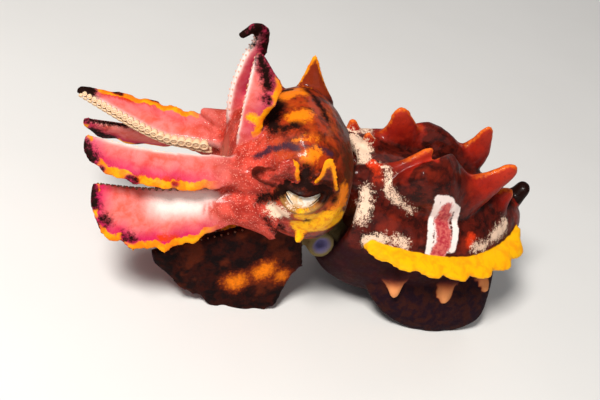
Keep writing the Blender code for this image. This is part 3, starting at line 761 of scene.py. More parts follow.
FIRST_PAIR = (
    Arm(
        "arm_1_left",
        path=(
            (-9.0, -3.6, 1.0),
            (-13.7, -5.0, 6.6),
            (-15.0, -5.3, 13.2),
            (-15.8, -5.5, 20.0),
            (-16.3, -5.0, 27.4),
        ),
        keels=((0.6, -0.3, 0.8), (1.0, -0.3, 0.1), (1.0, -0.1, 0.1)),
        reaches=((0.0, 3.2), (0.4, 3.6), (0.55, 4.6), (0.74, 6.2), (0.88, 4.2), (1.0, 0.6)),
        thickness=3.4,
        web=(1.5, 0.8),
        milk=(0.2, 1.6),
        flush=0.75,
        sucker_scale=0.34,
        sucker_tone=-1.0,
    ),
    Arm(
        "arm_1_right",
        path=(
            (-9.0, 3.6, -1.0),
            (-14.6, 5.0, 3.4),
            (-16.4, 5.4, 11.0),
            (-16.2, 5.2, 19.5),
            (-15.4, 4.6, 24.6),
            (-17.0, 3.6, 27.2),
            (-18.9, 3.0, 25.0),
        ),
        keels=((0.6, 0.3, 0.8), (1.0, 0.3, 0.1), (0.5, 0.0, 0.8)),
        reaches=((0.0, 3.0), (0.35, 3.8), (0.62, 4.2), (0.85, 3.0), (1.0, 0.7)),
        thickness=3.4,
        web=(1.0, 1.4),
        milk=(0.4, 2.0),
        sucker_scale=0.34,
        sucker_tone=-1.0,
    ),
)
SECOND_PAIR = (
    Arm(
        "arm_2_left",
        path=(
            (-8.0, -5.0, 2.0),
            (-16.0, -8.3, 3.0),
            (-23.0, -9.5, 2.9),
            (-32.0, -10.0, 3.0),
            (-44.6, -10.5, 4.6),
        ),
        keels=((0.0, -0.9, -0.4), (0.0, -0.81, -0.58), (0.0, -0.84, -0.54)),
        reaches=((0.0, 2.2), (0.3, 5.4), (0.6, 6.4), (0.85, 6.0), (0.95, 4.4), (1.0, 2.0)),
        web=(1.5, 0.6),
        milk=(0.3, 2.4),
        sucker_scale=0.42,
    ),
    Arm(
        "arm_2_right",
        path=(
            (-8.0, 5.0, -0.5),
            (-14.6, 6.2, -1.6),
            (-21.5, 7.0, -2.6),
            (-30.0, 8.2, -2.9),
            (-47.0, 11.2, 1.2),
        ),
        keels=((0.0, 0.9, 0.4), (0.0, 0.8, 0.6), (0.0, 0.9, 0.2)),
        reaches=((0.0, 2.6), (0.3, 5.6), (0.6, 6.0), (0.85, 3.6), (1.0, 0.6)),
        web=(0.9, -0.2),
        milk=(-0.4, 1.2),
        flush=0.35,
        sucker_tone=-0.25,
        sucker_scale=1.45,
    ),
)
THIRD_PAIR = (
    Arm(
        "arm_3_left",
        path=(
            (-7.0, -5.6, -2.0),
            (-13.4, -8.5, -3.0),
            (-21.0, -10.0, -4.4),
            (-31.0, -10.6, -5.9),
            (-41.4, -11.0, -6.0),
        ),
        keels=((0.0, -0.5, -0.85), (0.0, -0.55, -0.83), (0.0, -0.65, -0.76)),
        reaches=((0.0, 3.0), (0.3, 7.8), (0.6, 11.2), (0.85, 10.2), (0.95, 7.2), (1.0, 3.0)),
        web=(0.3, 0.9),
        milk=(3.4, 7.6),
        milk_run=(0.24, 0.68),
        flush=1.0,
        sucker_tone=1.0,
        sucker_scale=0.66,
    ),
    Arm(
        "arm_3_right",
        path=(
            (-7.0, 5.6, -4.0),
            (-13.4, 9.4, -5.2),
            (-21.0, 11.0, -6.0),
            (-31.0, 12.0, -6.7),
            (-44.6, 12.0, -6.9),
        ),
        keels=((0.0, 0.6, -0.8), (0.0, 0.7, -0.72), (0.0, 0.3, -0.95)),
        reaches=((0.0, 2.8), (0.3, 6.8), (0.6, 8.6), (0.86, 5.2), (0.95, 3.4), (1.0, 1.0)),
        milk=(-0.4, 0.2),
        sucker_tone=-1.0,
        sucker_scale=0.3,
    ),
)
FOURTH_LEFT = Arm(
    "arm_4_left",
    path=(
        (1.5, -6.0, -10.0),
        (-4.0, -7.0, -11.8),
        (-11.0, -8.5, -14.2),
        (-18.5, -10.2, -16.6),
        (-26.9, -12.0, -19.8),
    ),
    keels=((0.28, -0.12, -0.95), (0.06, -0.1, -0.99), (0.0, -0.05, -1.0)),
    reaches=(
        (0.0, 10.5),
        (0.1, 16.4),
        (0.2, 21.0),
        (0.32, 22.6),
        (0.5, 20.6),
        (0.68, 17.2),
        (0.85, 11.4),
        (1.0, 2.4),
    ),
    thickness=4.2,
    region=Region.FOURTH,
    sucker_tone=1.0,
    sucker_scale=0.34,
)
FOURTH_PAIR = (FOURTH_LEFT, FOURTH_LEFT.mirrored("arm_4_right"))
ARMS = FIRST_PAIR + SECOND_PAIR + THIRD_PAIR + FOURTH_PAIR


@dataclass(frozen=True)
class Web:
    """The skin that spans the roots of two neighbouring arms, shortest in its middle."""

    first: Arm
    second: Arm
    first_end: float
    second_end: float
    notch: float = 0.35
    bulge: float = 1.2
    thickness: float = 2.2

    def form(self) -> Form:
        """The web as a closed sheet with a rounded free edge."""
        across, rings = 26, 28
        t = np.linspace(0, 1, across)
        rows = []
        for k in range(rings):
            run = k / (rings - 1)
            end_a = self.first_end * run * (1 - self.notch * np.sin(np.pi * t))
            end_b = self.second_end * run * (1 - self.notch * np.sin(np.pi * t))
            a, _, keel_a, _ = self.first.axes(end_a)
            b, _, keel_b, _ = self.second.axes(end_b)
            outward = unit((keel_a + keel_b) * (0, 1, 1) + 1e-6)
            bulge = outward * (self.bulge * np.sin(np.pi * t))[:, None]
            middle = a * (1 - t)[:, None] + b * t[:, None] + bulge
            rows.append((middle, outward))
        loops = []
        for k, (middle, outward) in enumerate(rows):
            run = k / (rings - 1)
            rounding = math.sqrt(max(1 - max(run - 0.9, 0) ** 2 / 0.0105, 0.02))
            half = self.thickness / 2 * (1 - 0.35 * run) * rounding
            loops.append(np.concatenate([middle + outward * half, (middle - outward * half)[::-1]]))
        milk = np.full((1, 1), 0.15)
        return loft(Region.ARM, HEAD.out(np.array(loops)), {"along": np.full((1, 1), 0.12), "milk": milk})


@dataclass(frozen=True)
class Fin:
    """The scalloped fin along one side of the mantle."""

    side: Side
    widths: tuple = ((0.0, 0.9), (0.08, 2.8), (0.3, 3.9), (0.6, 4.3), (0.8, 4.3), (0.93, 3.0), (1.0, 1.2))
    start: float = -17.6
    end: float = 23.8
    lobes: float = 7.0
    lobe_depth: float = 2.0
    root_thickness: float = 2.2
    edge_thickness: float = 1.15
    sunk: float = 1.8
    stations: int = 170
    points: int = 30

    def form(self) -> Form:
        """The fin as a closed tongue-shaped section that runs along the body."""
        share = np.linspace(0, 1, self.stations)
        station = self.start + (self.end - self.start) * (0.45 * share + 0.55 * np.sin(0.5 * np.pi * share))
        mantle = Mantle()
        width = mantle.width(station)
        slope = (mantle.width(np.minimum(station + 0.4, mantle.sizes[-1][0])) - width) / 0.4
        out = unit(np.stack([-slope, np.ones_like(slope), np.zeros_like(slope)], -1))
        steps = np.hypot(np.diff(station), np.diff(width))
        run = np.concatenate([[0.0], np.cumsum(steps)]) / steps.sum()
        phase = (self.lobes * run + 0.25) % 1.0
        saw = np.where(phase < 0.8, (phase / 0.8) ** 1.3, ramp(phase, 1.0, 0.8))
        round_lobe = np.abs(np.sin(np.pi * phase)) ** 0.8
        wave = saw * (0.25 + 0.45 * run) + round_lobe * (0.75 - 0.45 * run)
        lobe = wave - 0.42
        reach = SizeTable(self.widths).at(share) + self.lobe_depth * lobe * (0.3 + 0.7 * run)
        level = -0.6 + 2.2 * share**2
        turn = circle(self.points)
        away = (reach[:, None] - self.sunk) / 2 + np.cos(turn) * (reach[:, None] + self.sunk) / 2
        far = np.clip(away / reach[:, None], 0, 1)
        thick = self.root_thickness + (self.edge_thickness - self.root_thickness) * far
        rise = thick / 2 * bent(np.sin(turn), 0.6)
        curl = -0.7 * far**2 * (wave[:, None] - 0.4)
        points = np.stack([station, width, level], -1)[:, None] + out[:, None] * away[..., None]
        points[..., 2] += rise - 0.9 * far**2 + curl
        points[..., 1] *= self.side.value
        measures = {"along": share[:, None], "rim": reach[:, None] * (1 - far)}
        return loft(Region.FIN, MANTLE.out(points), measures)


@dataclass(frozen=True)
class WalkingFlap:
    """One fleshy flap of the belly.

    A level is its height, its centre along and across, its half length and its thickness.
    """

    side: Side
    levels: tuple

    def form(self) -> Form:
        """The flap, with its root in the belly and its sole on the floor."""
        table = SizeTable([tuple(row) for row in reversed(self.levels)])
        heights = np.linspace(self.levels[0][0], self.levels[-1][0], 26)
        turn = circle(56)
        rings = []
        for height in heights:
            along, across, length, thickness = (float(table.at(height, column)) for column in (1, 2, 3, 4))
            side = bent(np.sin(turn), 0.8)
            sway = 0.35 * np.sin(turn * 5 + height * 0.4)
            spots = (along + length * np.cos(turn), across + thickness * side + sway * 0.4, 0 * turn + height)
            rings.append(np.stack(spots, -1))
        rim = np.broadcast_to(heights[:, None], (len(heights), len(turn)))
        return loft(Region.FLAP, np.array(rings), {"rim": rim})


WEBS = tuple(
    web
    for k in (0, 1)
    for web in (
        Web(FIRST_PAIR[k], SECOND_PAIR[k], 0.34, 0.30, bulge=1.6),
        Web(SECOND_PAIR[k], THIRD_PAIR[k], 0.42, 0.42, bulge=1.4),
        Web(THIRD_PAIR[k], FOURTH_PAIR[k], 0.24, 0.16, bulge=1.0),
    )
) + (Web(FIRST_PAIR[0], FIRST_PAIR[1], 0.36, 0.34, bulge=0.6),)

FLAPS = (
    WalkingFlap(
        Side.LEFT,
        (
            (15.0, 35.4, -7.8, 16.0, 3.2),
            (9.0, 36.2, -10.2, 15.4, 3.0),
            (4.0, 38.4, -11.8, 12.6, 2.4),
            (1.4, 39.2, -12.4, 8.6, 1.8),
            (0.0, 39.4, -12.6, 5.4, 1.3),
        ),
    ),
    WalkingFlap(
        Side.RIGHT,
        (
            (19.0, 35.4, 12.6, 16.0, 3.2),
            (11.0, 36.2, 15.2, 15.2, 3.0),
            (4.5, 38.4, 16.6, 12.0, 2.3),
            (1.4, 39.2, 17.2, 8.2, 1.7),
            (0.0, 39.4, 17.4, 5.2, 1.2),
        ),
    ),
)


@dataclass(frozen=True)
class Funnel:
    """The funnel, from the collar to its open end beside the throat."""

    root: Triple = (-19.0, -3.0, -7.4)
    tip: Triple = (7.4, -10.6, -11.5)
    radius: float = 2.5
    mouth: float = 2.9
    bore: float = 1.1

    def form(self) -> Form:
        """The funnel with its bore."""
        root = MANTLE.out(self.root)
        before = MANTLE.out(np.array(self.root) + np.array((-5.3, -0.6, -0.2)))
        tip = HEAD.out(self.tip)
        path = Path((root, before, before + (tip - before) * 0.55 + np.array((-1.0, 0.8, -0.6)), tip))
        shares = np.linspace(0, 1, 26)
        spots, ways = path.at(shares)
        side = unit(np.cross(ways, (0.0, 0.0, 1.0)))
        upward = np.cross(ways, side)
        radius = self.radius + (self.mouth - self.radius) * shares
        run = list(zip(spots, side, upward, radius))
        end, direction = spots[-1], ways[-1]
        lip = ((0.25, self.mouth - 0.25), (0.3, self.mouth - 0.6), (0.0, self.bore + 0.5))
        for depth, size in lip + ((-0.4, self.bore), (-1.0, self.bore * 0.8), (-1.6, self.bore * 0.6)):
            run.append((end + direction * depth, side[-1], upward[-1], size))
        cosine, sine = np.cos(circle(30)), np.sin(circle(30))
        rings = [c + np.outer(cosine, s * r) + np.outer(sine, u * r) for c, s, u, r in run]
        along = np.linspace(0, 1, len(run))
        return loft(Region.FUNNEL, np.array(rings), {"along": along[:, None]})


@dataclass(frozen=True)
class Mouth:
    """The round lips in the middle of the ring of arms."""

    seat: float = -13.6
    radius: float = 3.0
    profile: tuple = (
        (0.0, 1.0), (1.6, 1.0), (2.4, 0.94), (3.0, 0.78), (3.2, 0.6), (3.0, 0.42), (2.2, 0.3), (1.6, 0.1)
    )

    def form(self) -> Form:
        """The lips, pleated round their opening."""
        turn = circle(48)
        rings = []
        for depth, size in self.profile:
            reach = self.radius * size * (1 + 0.06 * np.cos(turn * 12) * (size < 0.9))
            spots = (0 * turn + self.seat - depth, reach * np.cos(turn), reach * np.sin(turn))
            rings.append(np.stack(spots, -1))
        return loft(Region.MOUTH, HEAD.out(np.array(rings)))


# marks on the skin


@dataclass(frozen=True)
class Patches:
    """Patches of one colour in one frame, each a half width and the points that it runs along."""

    tint: Tint
    place: Place
    regions: tuple[Region, ...]
    rows: tuple[tuple, ...]
    mirrored: bool = True

    REACH = 2.6
    DRAW = 0.8
    OUTSIDE = -50.0

    def depth(self, local: Array, facing: Array) -> Array:
        """How far inside a patch each point is, in millimetres; less than nothing outside.

        Args:
            local: Places in the patches' frame.
            facing: The skin's direction outwards at each, along which a patch reaches a little deeper.

        Returns:
            One number for each point.
        """
        best = np.full(len(local), self.OUTSIDE)
        for width, *points in self.rows:
            for side in (1, -1) if self.mirrored else (1,):
                run = np.array(points, float) * (1, side, 1)
                for a, b in zip(run, run[1:] if len(run) > 1 else run):
                    step = b - a
                    share = np.clip(((local - a) @ step) / max(step @ step, 1e-9), 0, 1)
                    rel = local - a - share[:, None] * step
                    lift = np.clip((rel * facing).sum(1), -self.REACH, self.REACH)
                    away = np.linalg.norm(rel - facing * (lift * self.DRAW)[:, None], axis=1)
                    best = np.maximum(best, width - away)
        return best


PATCHES = (
    # crown and brow
    Patches(Tint.ORANGE, HEAD, (Region.HEAD,), mirrored=False, rows=(
        (2.0, (-7.0, 3.4, 14.4), (-4.4, 5.4, 14.4)),
    )),
    Patches(Tint.ORANGE, HEAD, (Region.HEAD,), rows=(
        (1.5, (-5.6, -4.4, 14.5), (-3.4, -4.0, 15.1)),
        (1.3, (-2.2, -12.5, 10.8), (-1.4, -11.9, 11.5)),
        (0.1, (-5.0, -9.4, 12.6), (-1.0, -9.6, 13.4)),
    )),
    Patches(Tint.DARK, HEAD, (Region.HEAD,), rows=(
        (1.7, (-9.0, 0.0, 13.4), (-9.6, -3.0, 12.8), (-9.4, -5.4, 12.0)),
        (0.9, (-7.2, -7.0, 13.0), (-5.4, -6.6, 13.8)),
    )),
    Patches(Tint.DARK, HEAD, (Region.HEAD,), mirrored=False, rows=(
        (0.9, (-1.6, 6.0, 15.0), (-0.6, 2.6, 15.4), (0.9, -0.6, 15.0), (1.4, -2.4, 14.6)),
    )),
    Patches(Tint.VIOLET, HEAD, (Region.HEAD,), rows=(
        (0.6, (-11.4, -9.2, 6.4), (-9.3, -9.6, 9.4), (-6.8, -9.9, 11.0), (-4.6, -11.0, 11.6)),
        (0.5, (-3.6, -10.9, 12.3), (-0.6, -11.0, 12.7), (2.4, -11.0, 11.7)),
    )),
    # round the eye
    Patches(Tint.DARK, HEAD, (Region.HEAD, Region.EAR, Region.ARM), rows=(
        (1.2, (-8.6, -13.0, -0.6), (-7.2, -14.8, 1.6), (-6.0, -15.6, 4.0), (-5.4, -15.0, 6.4)),
    )),
    Patches(Tint.DARK, HEAD, (Region.HEAD,), rows=(
        (1.5, (-3.8, -15.6, 6.4), (-1.4, -15.9, 6.8), (0.6, -15.7, 6.8)),
        (1.5, (-3.0, -15.6, 6.8), (-2.4, -14.4, 9.2)),
        (0.7, (3.6, -15.4, 5.6), (4.2, -14.8, 4.2)),
        (0.45, (0.6, -17.2, -1.0)),
    )),
    Patches(Tint.CREAM, HEAD, (Region.HEAD, Region.ARM), rows=(
        (1.7, (-6.4, -15.2, -1.0), (-4.8, -16.2, -0.6)),
    )),
    Patches(Tint.YELLOW, HEAD, (Region.HEAD,), rows=(
        (1.2, (-1.4, -17.9, 0.2), (2.6, -17.1, 0.2), (6.4, -14.8, 1.0)),
        (1.9, (-0.4, -16.2, -3.4), (3.6, -16.4, -2.1), (7.4, -14.0, -1.5)),
        (1.1, (-0.4, -16.8, -3.4), (0.6, -16.6, -7.2)),
    )),
    Patches(Tint.ORANGE, HEAD, (Region.HEAD,), rows=(
        (1.7, (5.0, -15.4, 0.4), (6.4, -14.0, 2.6), (6.6, -13.4, 5.0)),
    )),
    Patches(Tint.VIOLET, HEAD, (Region.HEAD,), rows=(
        (0.4, (-7.0, -9.8, -9.0), (-1.0, -12.6, -9.4), (4.0, -13.4, -7.0), (9.0, -11.4, -5.0)),
    )),
    Patches(Tint.DARK, HEAD, (Region.HEAD, Region.ARM), rows=(
        (0.7, (-7.4, -15.0, -4.1), (-3.4, -14.6, -6.2), (-2.0, -13.2, -7.6)),
    )),
    # collar and back
    Patches(Tint.CREAM, MANTLE, (Region.MANTLE,), mirrored=False, rows=(
        (1.1, (-21.0, -9.0, 8.0), (-20.6, -10.6, 6.4), (-20.6, -12.6, 3.6)),
        (1.5, (-21.0, 5.6, 9.0), (-20.6, 1.0, 10.8), (-20.8, -2.0, 10.6)),
        (0.8, (-17.6, -3.4, 10.2), (-16.6, -5.6, 9.9)),
        (1.2, (-15.8, -6.8, 9.2), (-13.6, -8.6, 8.2)),
        (0.9, (-13.0, -9.2, 8.0), (-10.6, -10.7, 7.2)),
        (1.0, (-20.2, 9.0, 6.8), (-16.0, 9.4, 6.4)),
    )),
    Patches(Tint.RED, MANTLE, (Region.MANTLE,), mirrored=False, rows=(
        (1.7, (-19.2, -4.6, 9.8), (-20.4, -4.2, 12.6)),
    )),
    # bordered patch on the flank
    Patches(Tint.WHITE, MANTLE, (Region.MANTLE,), rows=(
        (0.7, (-7.0, -12.0, 12.7), (-5.0, -12.0, 7.7), (-4.8, -14.7, 4.3), (-3.9, -17.4, 0.7)),
        (0.8, (-7.0, -12.0, 12.7), (-4.4, -11.5, 12.5), (-2.3, -11.5, 11.1), (0.3, -11.0, 9.5)),
        (0.8, (0.3, -11.0, 9.5), (1.8, -12.9, 5.4), (1.6, -16.1, 2.4)),
        (2.0, (-3.6, -11.8, 11.0), (-2.4, -12.2, 8.0), (-1.6, -14.1, 4.6), (-1.3, -16.4, 2.4)),
    )),
    Patches(Tint.MAGENTA, MANTLE, (Region.MANTLE,), rows=(
        (1.4, (-3.4, -11.6, 10.2), (-3.0, -12.2, 8.2)),
        (1.9, (-2.4, -12.2, 7.6), (-1.2, -14.1, 4.6), (-1.0, -15.8, 3.0), (-1.6, -16.8, 1.6)),
    )),
    Patches(Tint.CREAM, MANTLE, (Region.MANTLE,), rows=(
        (1.2, (-18.0, -15.6, 0.0), (-15.6, -16.2, 1.4)),
        (1.0, (-12.6, -16.2, 2.2), (-10.0, -16.5, 1.8)),
        (0.9, (8.0, -14.4, 2.8), (11.4, -13.2, 2.6)),
        (1.3, (13.4, -11.2, 3.8), (15.4, -9.6, 4.2), (17.6, -7.8, 4.6)),
    )),
    Patches(Tint.RED, MANTLE, (Region.MANTLE,), rows=(
        (1.2, (6.0, -14.4, 4.0), (6.4, -13.8, 4.8)),
    )),
    # arms
    Patches(Tint.DARK, HEAD, (Region.ARM,), rows=(
        (1.3, (-15.4, -6.0, 26.2), (-13.6, -6.3, 23.2), (-12.8, -6.5, 21.6)),
        (0.8, (-11.9, -6.9, 18.0), (-12.4, -6.9, 18.8)),
    )),
    Patches(Tint.YELLOW, HEAD, (Region.ARM,), rows=(
        (1.0, (-12.9, -6.8, 13.4), (-14.2, -6.8, 13.6)),
    )),
    Patches(Tint.DARK, HEAD, (Region.ARM,), mirrored=False, rows=(
        (1.7, (-16.4, 3.9, 27.0), (-17.6, 3.8, 27.6), (-19.2, 3.0, 25.2)),
        (2.2, (-45.0, 11.0, 1.6), (-48.0, 11.4, 1.4)),
        (0.6, (-39.4, 12.9, 1.0), (-38.2, 12.8, 0.8)),
        (0.6, (-31.4, 13.4, 0.6), (-30.2, 13.4, 0.6)),
        (1.3, (-45.2, -11.4, 4.4), (-43.6, -12.6, 3.4), (-42.6, -14.0, 2.6)),
        (0.75, (-40.8, -15.0, 1.2)),
        (0.7, (-35.2, -15.2, 0.4), (-34.0, -15.2, 0.2)),
        (0.45, (-26.6, -14.2, 0.3), (-26.0, -14.2, 0.3)),
        (1.2, (-41.4, -11.8, -5.8), (-41.0, -12.8, -7.2), (-40.4, -13.6, -8.2)),
        (1.1, (-38.2, -15.2, -10.4), (-37.6, -15.3, -10.9)),
        (1.0, (-33.2, -16.5, -12.7), (-32.0, -16.5, -13.0)),
        (1.5, (-42.0, 13.0, -8.6), (-38.0, 14.6, -10.6)),
        (1.2, (-32.0, 16.4, -12.4)),
        (1.2, (-45.4, 11.2, -6.2), (-36.0, 11.6, -4.6)),
    )),
    Patches(Tint.RED, HEAD, (Region.ARM,), mirrored=False, rows=(
        (0.9, (-41.6, 12.2, 0.8), (-36.0, 12.2, 0.3)),
        (1.0, (-33.4, 12.8, 0.2), (-28.6, 12.6, 0.2)),
        (0.7, (-33.6, -14.9, 0.4), (-25.4, -13.9, 0.6)),
        (0.7, (-26.6, -16.0, -12.2), (-23.6, -15.6, -11.8)),
    )),
    # fourth arms
    Patches(Tint.ORANGE, HEAD, (Region.FOURTH,), rows=(
        (0.9, (-7.6, -10.4, -26.2), (-6.4, -10.3, -24.6), (-8.6, -10.4, -25.6)),
        (1.3, (-2.6, -9.6, -22.4), (-1.6, -9.4, -21.4)),
        (0.9, (2.2, -8.6, -23.2)),
    )),
)


# the skin


class MeshWeb:
    """A mesh's points and edges as arrays, for smoothing."""

    PUSH_BACK = 0.94

    def __init__(self, mesh: bpy.types.Mesh) -> None:
        self.mesh = mesh
        count = len(mesh.vertices)
        points = np.empty(count * 3)
        mesh.vertices.foreach_get("co", points)
        self.points = points.reshape(-1, 3) / MM - SHIFT
        edges = np.empty(len(mesh.edges) * 2, int)
        mesh.edges.foreach_get("vertices", edges)
        self.edges = edges.reshape(-1, 2)
        self.valence = np.bincount(self.edges.ravel(), minlength=count).astype(float)

    def around(self, values: Array) -> Array:
        """The mean of the neighbours' values at each point."""
        a, b = self.edges[:, 0], self.edges[:, 1]
        flat = values.reshape(len(values), -1)
        total = np.empty_like(flat)
        for k in range(flat.shape[1]):
            column = flat[:, k]
            total[:, k] = np.bincount(a, column[b], len(flat)) + np.bincount(b, column[a], len(flat))
        return (total / self.valence[:, None]).reshape(values.shape)

    def relax(self, amount: Array | float, rounds: int, keep_volume: bool = True) -> None:
        """Smooths the points, and pushes back what shrinks if wanted."""
        for _ in range(rounds):
            self.points = self.points + (self.around(self.points) - self.points) * amount
            if keep_volume:
                back = (self.around(self.points) - self.points) * np.asarray(amount) * self.PUSH_BACK
                self.points = self.points - back

    def spread(self, values: Array, rounds: int) -> Array:
        """Values blended along the surface."""
        for _ in range(rounds):
            values = 0.5 * values + 0.5 * self.around(values)
        return values

    def write(self) -> None:
        """Writes the points back to the mesh."""
        self.mesh.vertices.foreach_set("co", ((self.points + SHIFT) * MM).ravel())
        self.mesh.update()

    def normals(self) -> Array:
        """The outward direction at each point."""
        self.write()
        flat = np.empty(len(self.mesh.vertices) * 3)
        self.mesh.vertex_normals.foreach_get("vector", flat)
        return flat.reshape(-1, 3)


@dataclass(frozen=True)
class Skin:
    """One unbroken skin over all of the flesh, made of its closed forms."""

    voxel: float = 0.44
    most_triangles: int = 184_000

    def forms(self) -> list[Form]:
        """The closed forms that the skin takes in."""
        made = Mantle().forms() + Head().forms()
        made += [arm.form() for arm in ARMS]
        made += [web.form() for web in WEBS]
        made += [Fin(side).form() for side in Side]
        made += [flap.form() for flap in FLAPS]
        made += [Funnel().form(), Mouth().form()]
        return made

    def joined(self, forms: list[Form], name: str) -> bpy.types.Object:
        """All forms in one mesh, still overlapping."""
        points, faces, start = [], [], 0
        for form in forms:
            points.append(form.points)
            faces += [tuple(k + start for k in face) for face in form.faces]
            start += len(form.points)
        return as_mesh(name, np.vstack(points), faces)

    def remeshed(self, obj: bpy.types.Object) -> bpy.types.Object:
        """The outside of everything in the object as one even mesh."""
        remesh = obj.modifiers.new("skin", "REMESH")
        remesh.mode = "VOXEL"
        remesh.voxel_size = self.voxel * MM
        remesh.adaptivity = 0.0
        return applied(obj)

    def finer_round_eyes(self, obj: bpy.types.Object) -> None:
        """Splits the faces round the eyes, where the lids need a finer mesh."""
        head = Head()
        local = HEAD.into(MeshWeb(obj.data).points)
        close = np.minimum(head.eye_share(local, Side.LEFT), head.eye_share(local, Side.RIGHT)) < 1.9
        shape = bmesh.new()
        shape.from_mesh(obj.data)
        edges = [edge for edge in shape.edges if close[edge.verts[0].index] and close[edge.verts[1].index]]
        bmesh.ops.subdivide_edges(shape, edges=edges, cuts=1, use_grid_fill=True)
        bmesh.ops.triangulate(shape, faces=[face for face in shape.faces if len(face.verts) > 4])
        shape.to_mesh(obj.data)
        shape.free()

    def largest(self, obj: bpy.types.Object) -> None:
        """Takes away any scrap that isn't part of the largest surface."""
        web = MeshWeb(obj.data)
        label = np.arange(len(web.points))
        a, b = web.edges[:, 0], web.edges[:, 1]
        while True:
            low = np.minimum(label[a], label[b])
            fresh = label.copy()
            np.minimum.at(fresh, a, low)
            np.minimum.at(fresh, b, low)
            fresh = fresh[fresh]
            if (fresh == label).all():
                break
            label = fresh
        main = np.bincount(label).argmax()
        scraps = np.flatnonzero(label != main)
        LOG.info("skin scraps taken away: %d points", len(scraps))
        if len(scraps):
            shape = bmesh.new()
            shape.from_mesh(obj.data)
            shape.verts.ensure_lookup_table()
            bmesh.ops.delete(shape, geom=[shape.verts[int(k)] for k in scraps], context="VERTS")
            shape.to_mesh(obj.data)
            shape.free()

    def thinned(self, obj: bpy.types.Object) -> bpy.types.Object:
        """The skin with no more triangles than a piece may have."""
        count = sum(len(polygon.vertices) - 2 for polygon in obj.data.polygons)
        LOG.info("skin triangles: %d", count)
        if count > self.most_triangles:
            fewer = obj.modifiers.new("fewer", "DECIMATE")
            fewer.ratio = self.most_triangles / count
            applied(obj)
        return obj

    def measured(self, web: MeshWeb, forms: list[Form]) -> dict[str, Array]:
        """The weights and measures at each point of the skin, from the nearest point of the forms."""
        points = np.vstack([form.points for form in forms])
        tree = KDTree(len(points))
        for k, point in enumerate(points):
            tree.insert(point, k)
        tree.balance()
        nearest = np.array([tree.find(point)[1] for point in web.points])
        values: dict[str, Array] = {}
        for region in Region:
            weights = [np.full(len(form.points), float(form.region is region)) for form in forms]
            values[region.value] = web.spread(np.concatenate(weights)[nearest], 5)
        for name in MEASURES:
            default = Horn.UNRIMMED if name == "rim" else 0.0
            columns = [form.measures.get(name, np.full(len(form.points), default)) for form in forms]
            values[name] = web.spread(np.concatenate(columns)[nearest], 2)
        return values

    def marked(self, web: MeshWeb, values: dict[str, Array]) -> dict[str, Array]:
        """How deep each point lies in the patches of each colour."""
        normals = web.normals()
        local = {id(place): (place.into(web.points), normals @ place.matrix) for place in (HEAD, MANTLE)}
        made = {tint.value: np.full(len(web.points), -4.0) for tint in Tint}
        for patches in PATCHES:
            depth = patches.depth(*local[id(patches.place)])
            weight = sum(values[region.value] for region in patches.regions)
            depth = np.where(weight > 0.35, depth, np.minimum(depth, -1.5))
            made[patches.tint.value] = np.maximum(made[patches.tint.value], depth)
        return made

    def sculpted(self, web: MeshWeb, values: dict[str, Array], local: Array) -> None:
        """Softens the crooks between the arms, raises the folds of the skin and shapes the lids.

        Args:
            web: The skin, whose points are changed and written.
            values: Its weights and measures.
            local: Its places in the head frame before this.
        """
        crook = ramp(local[:, 0], -20, -16) * ramp(local[:, 0], -8, -12)
        web.relax(0.5 * crook[:, None], 14, keep_volume=False)
        lifted = ripple(web.points, 6.0, 3) * 0.10 + ripple(web.points, 2.6, 4) * 0.045
        broad = np.clip(values["mantle"] + values["head"], 0, 1)
        broad = broad * (1 + 0.6 * values["horn"] * values["mantle"])
        web.points = web.points + web.normals() * (lifted * broad)[:, None]
        web.points = HEAD.out(Head().lidded(HEAD.into(web.points)))
        web.points[:, 2] = np.maximum(web.points[:, 2], 0.0)
        web.write()

    def fields(self, web: MeshWeb, arm: Array, local: Array) -> dict[str, Array]:
        """The broad fields of colour that follow places in the head and in the mantle; one of them is painted
        shade.

        Args:
            web: The skin.
            arm: Its weight as an arm.
            local: Its places in the head frame before it was sculpted.

        Returns:
            A number at each point for each field.
        """
        share = np.minimum(*(Head().eye_share(local, side) for side in Side))
        above = ramp(local[:, 2], EYE_CENTRE[2] + 0.2, EYE_CENTRE[2] + 1.8)
        forward = ramp(local[:, 0] - 6 * ramp(local[:, 2], 0, -5), -2.0, -11.0)
        return {
            "over_lid": ramp(share, 2.3, 1.2) * above,
            "under_lid": ramp(share, 1.5, 1.15) * (1 - above),
            "blush": forward * np.maximum(ramp(local[:, 2], 15.0, 6.0), arm),
            # painted shade: full over the rear of the head, half over its right side, away from the key light
            "nape": ramp(local[:, 0], 1.5, 7.5) + ramp(local[:, 1], 2, 12) * 0.5,
            "belly": ramp(MANTLE.into(web.points)[:, 2], -0.5, -5.0),
        }

    def build(self, finish: "SkinFinish") -> bpy.types.Object:
        """The finished skin.

        Args:
            finish: What dresses it.

        Returns:
            The object, with its weights, measures, patches and fields as point attributes.
        """
        forms = self.forms()
        obj = self.joined(forms, "skin")
        self.remeshed(obj)
        web = MeshWeb(obj.data)
        web.relax(0.5, 6)
        web.write()
        self.thinned(obj)
        self.largest(obj)
        self.finer_round_eyes(obj)
        web = MeshWeb(obj.data)
        values = self.measured(web, forms)
        local = HEAD.into(web.points)
        self.sculpted(web, values, local)
        fields = self.fields(web, values["arm"], local)
        for name, column in {**values, **self.marked(web, values), **fields}.items():
            add_values(obj.data, name, column)
        smooth_shading(obj.data)
        obj.data.materials.append(finish.build())
        LOG.info("skin: %d points", len(web.points))
        return obj


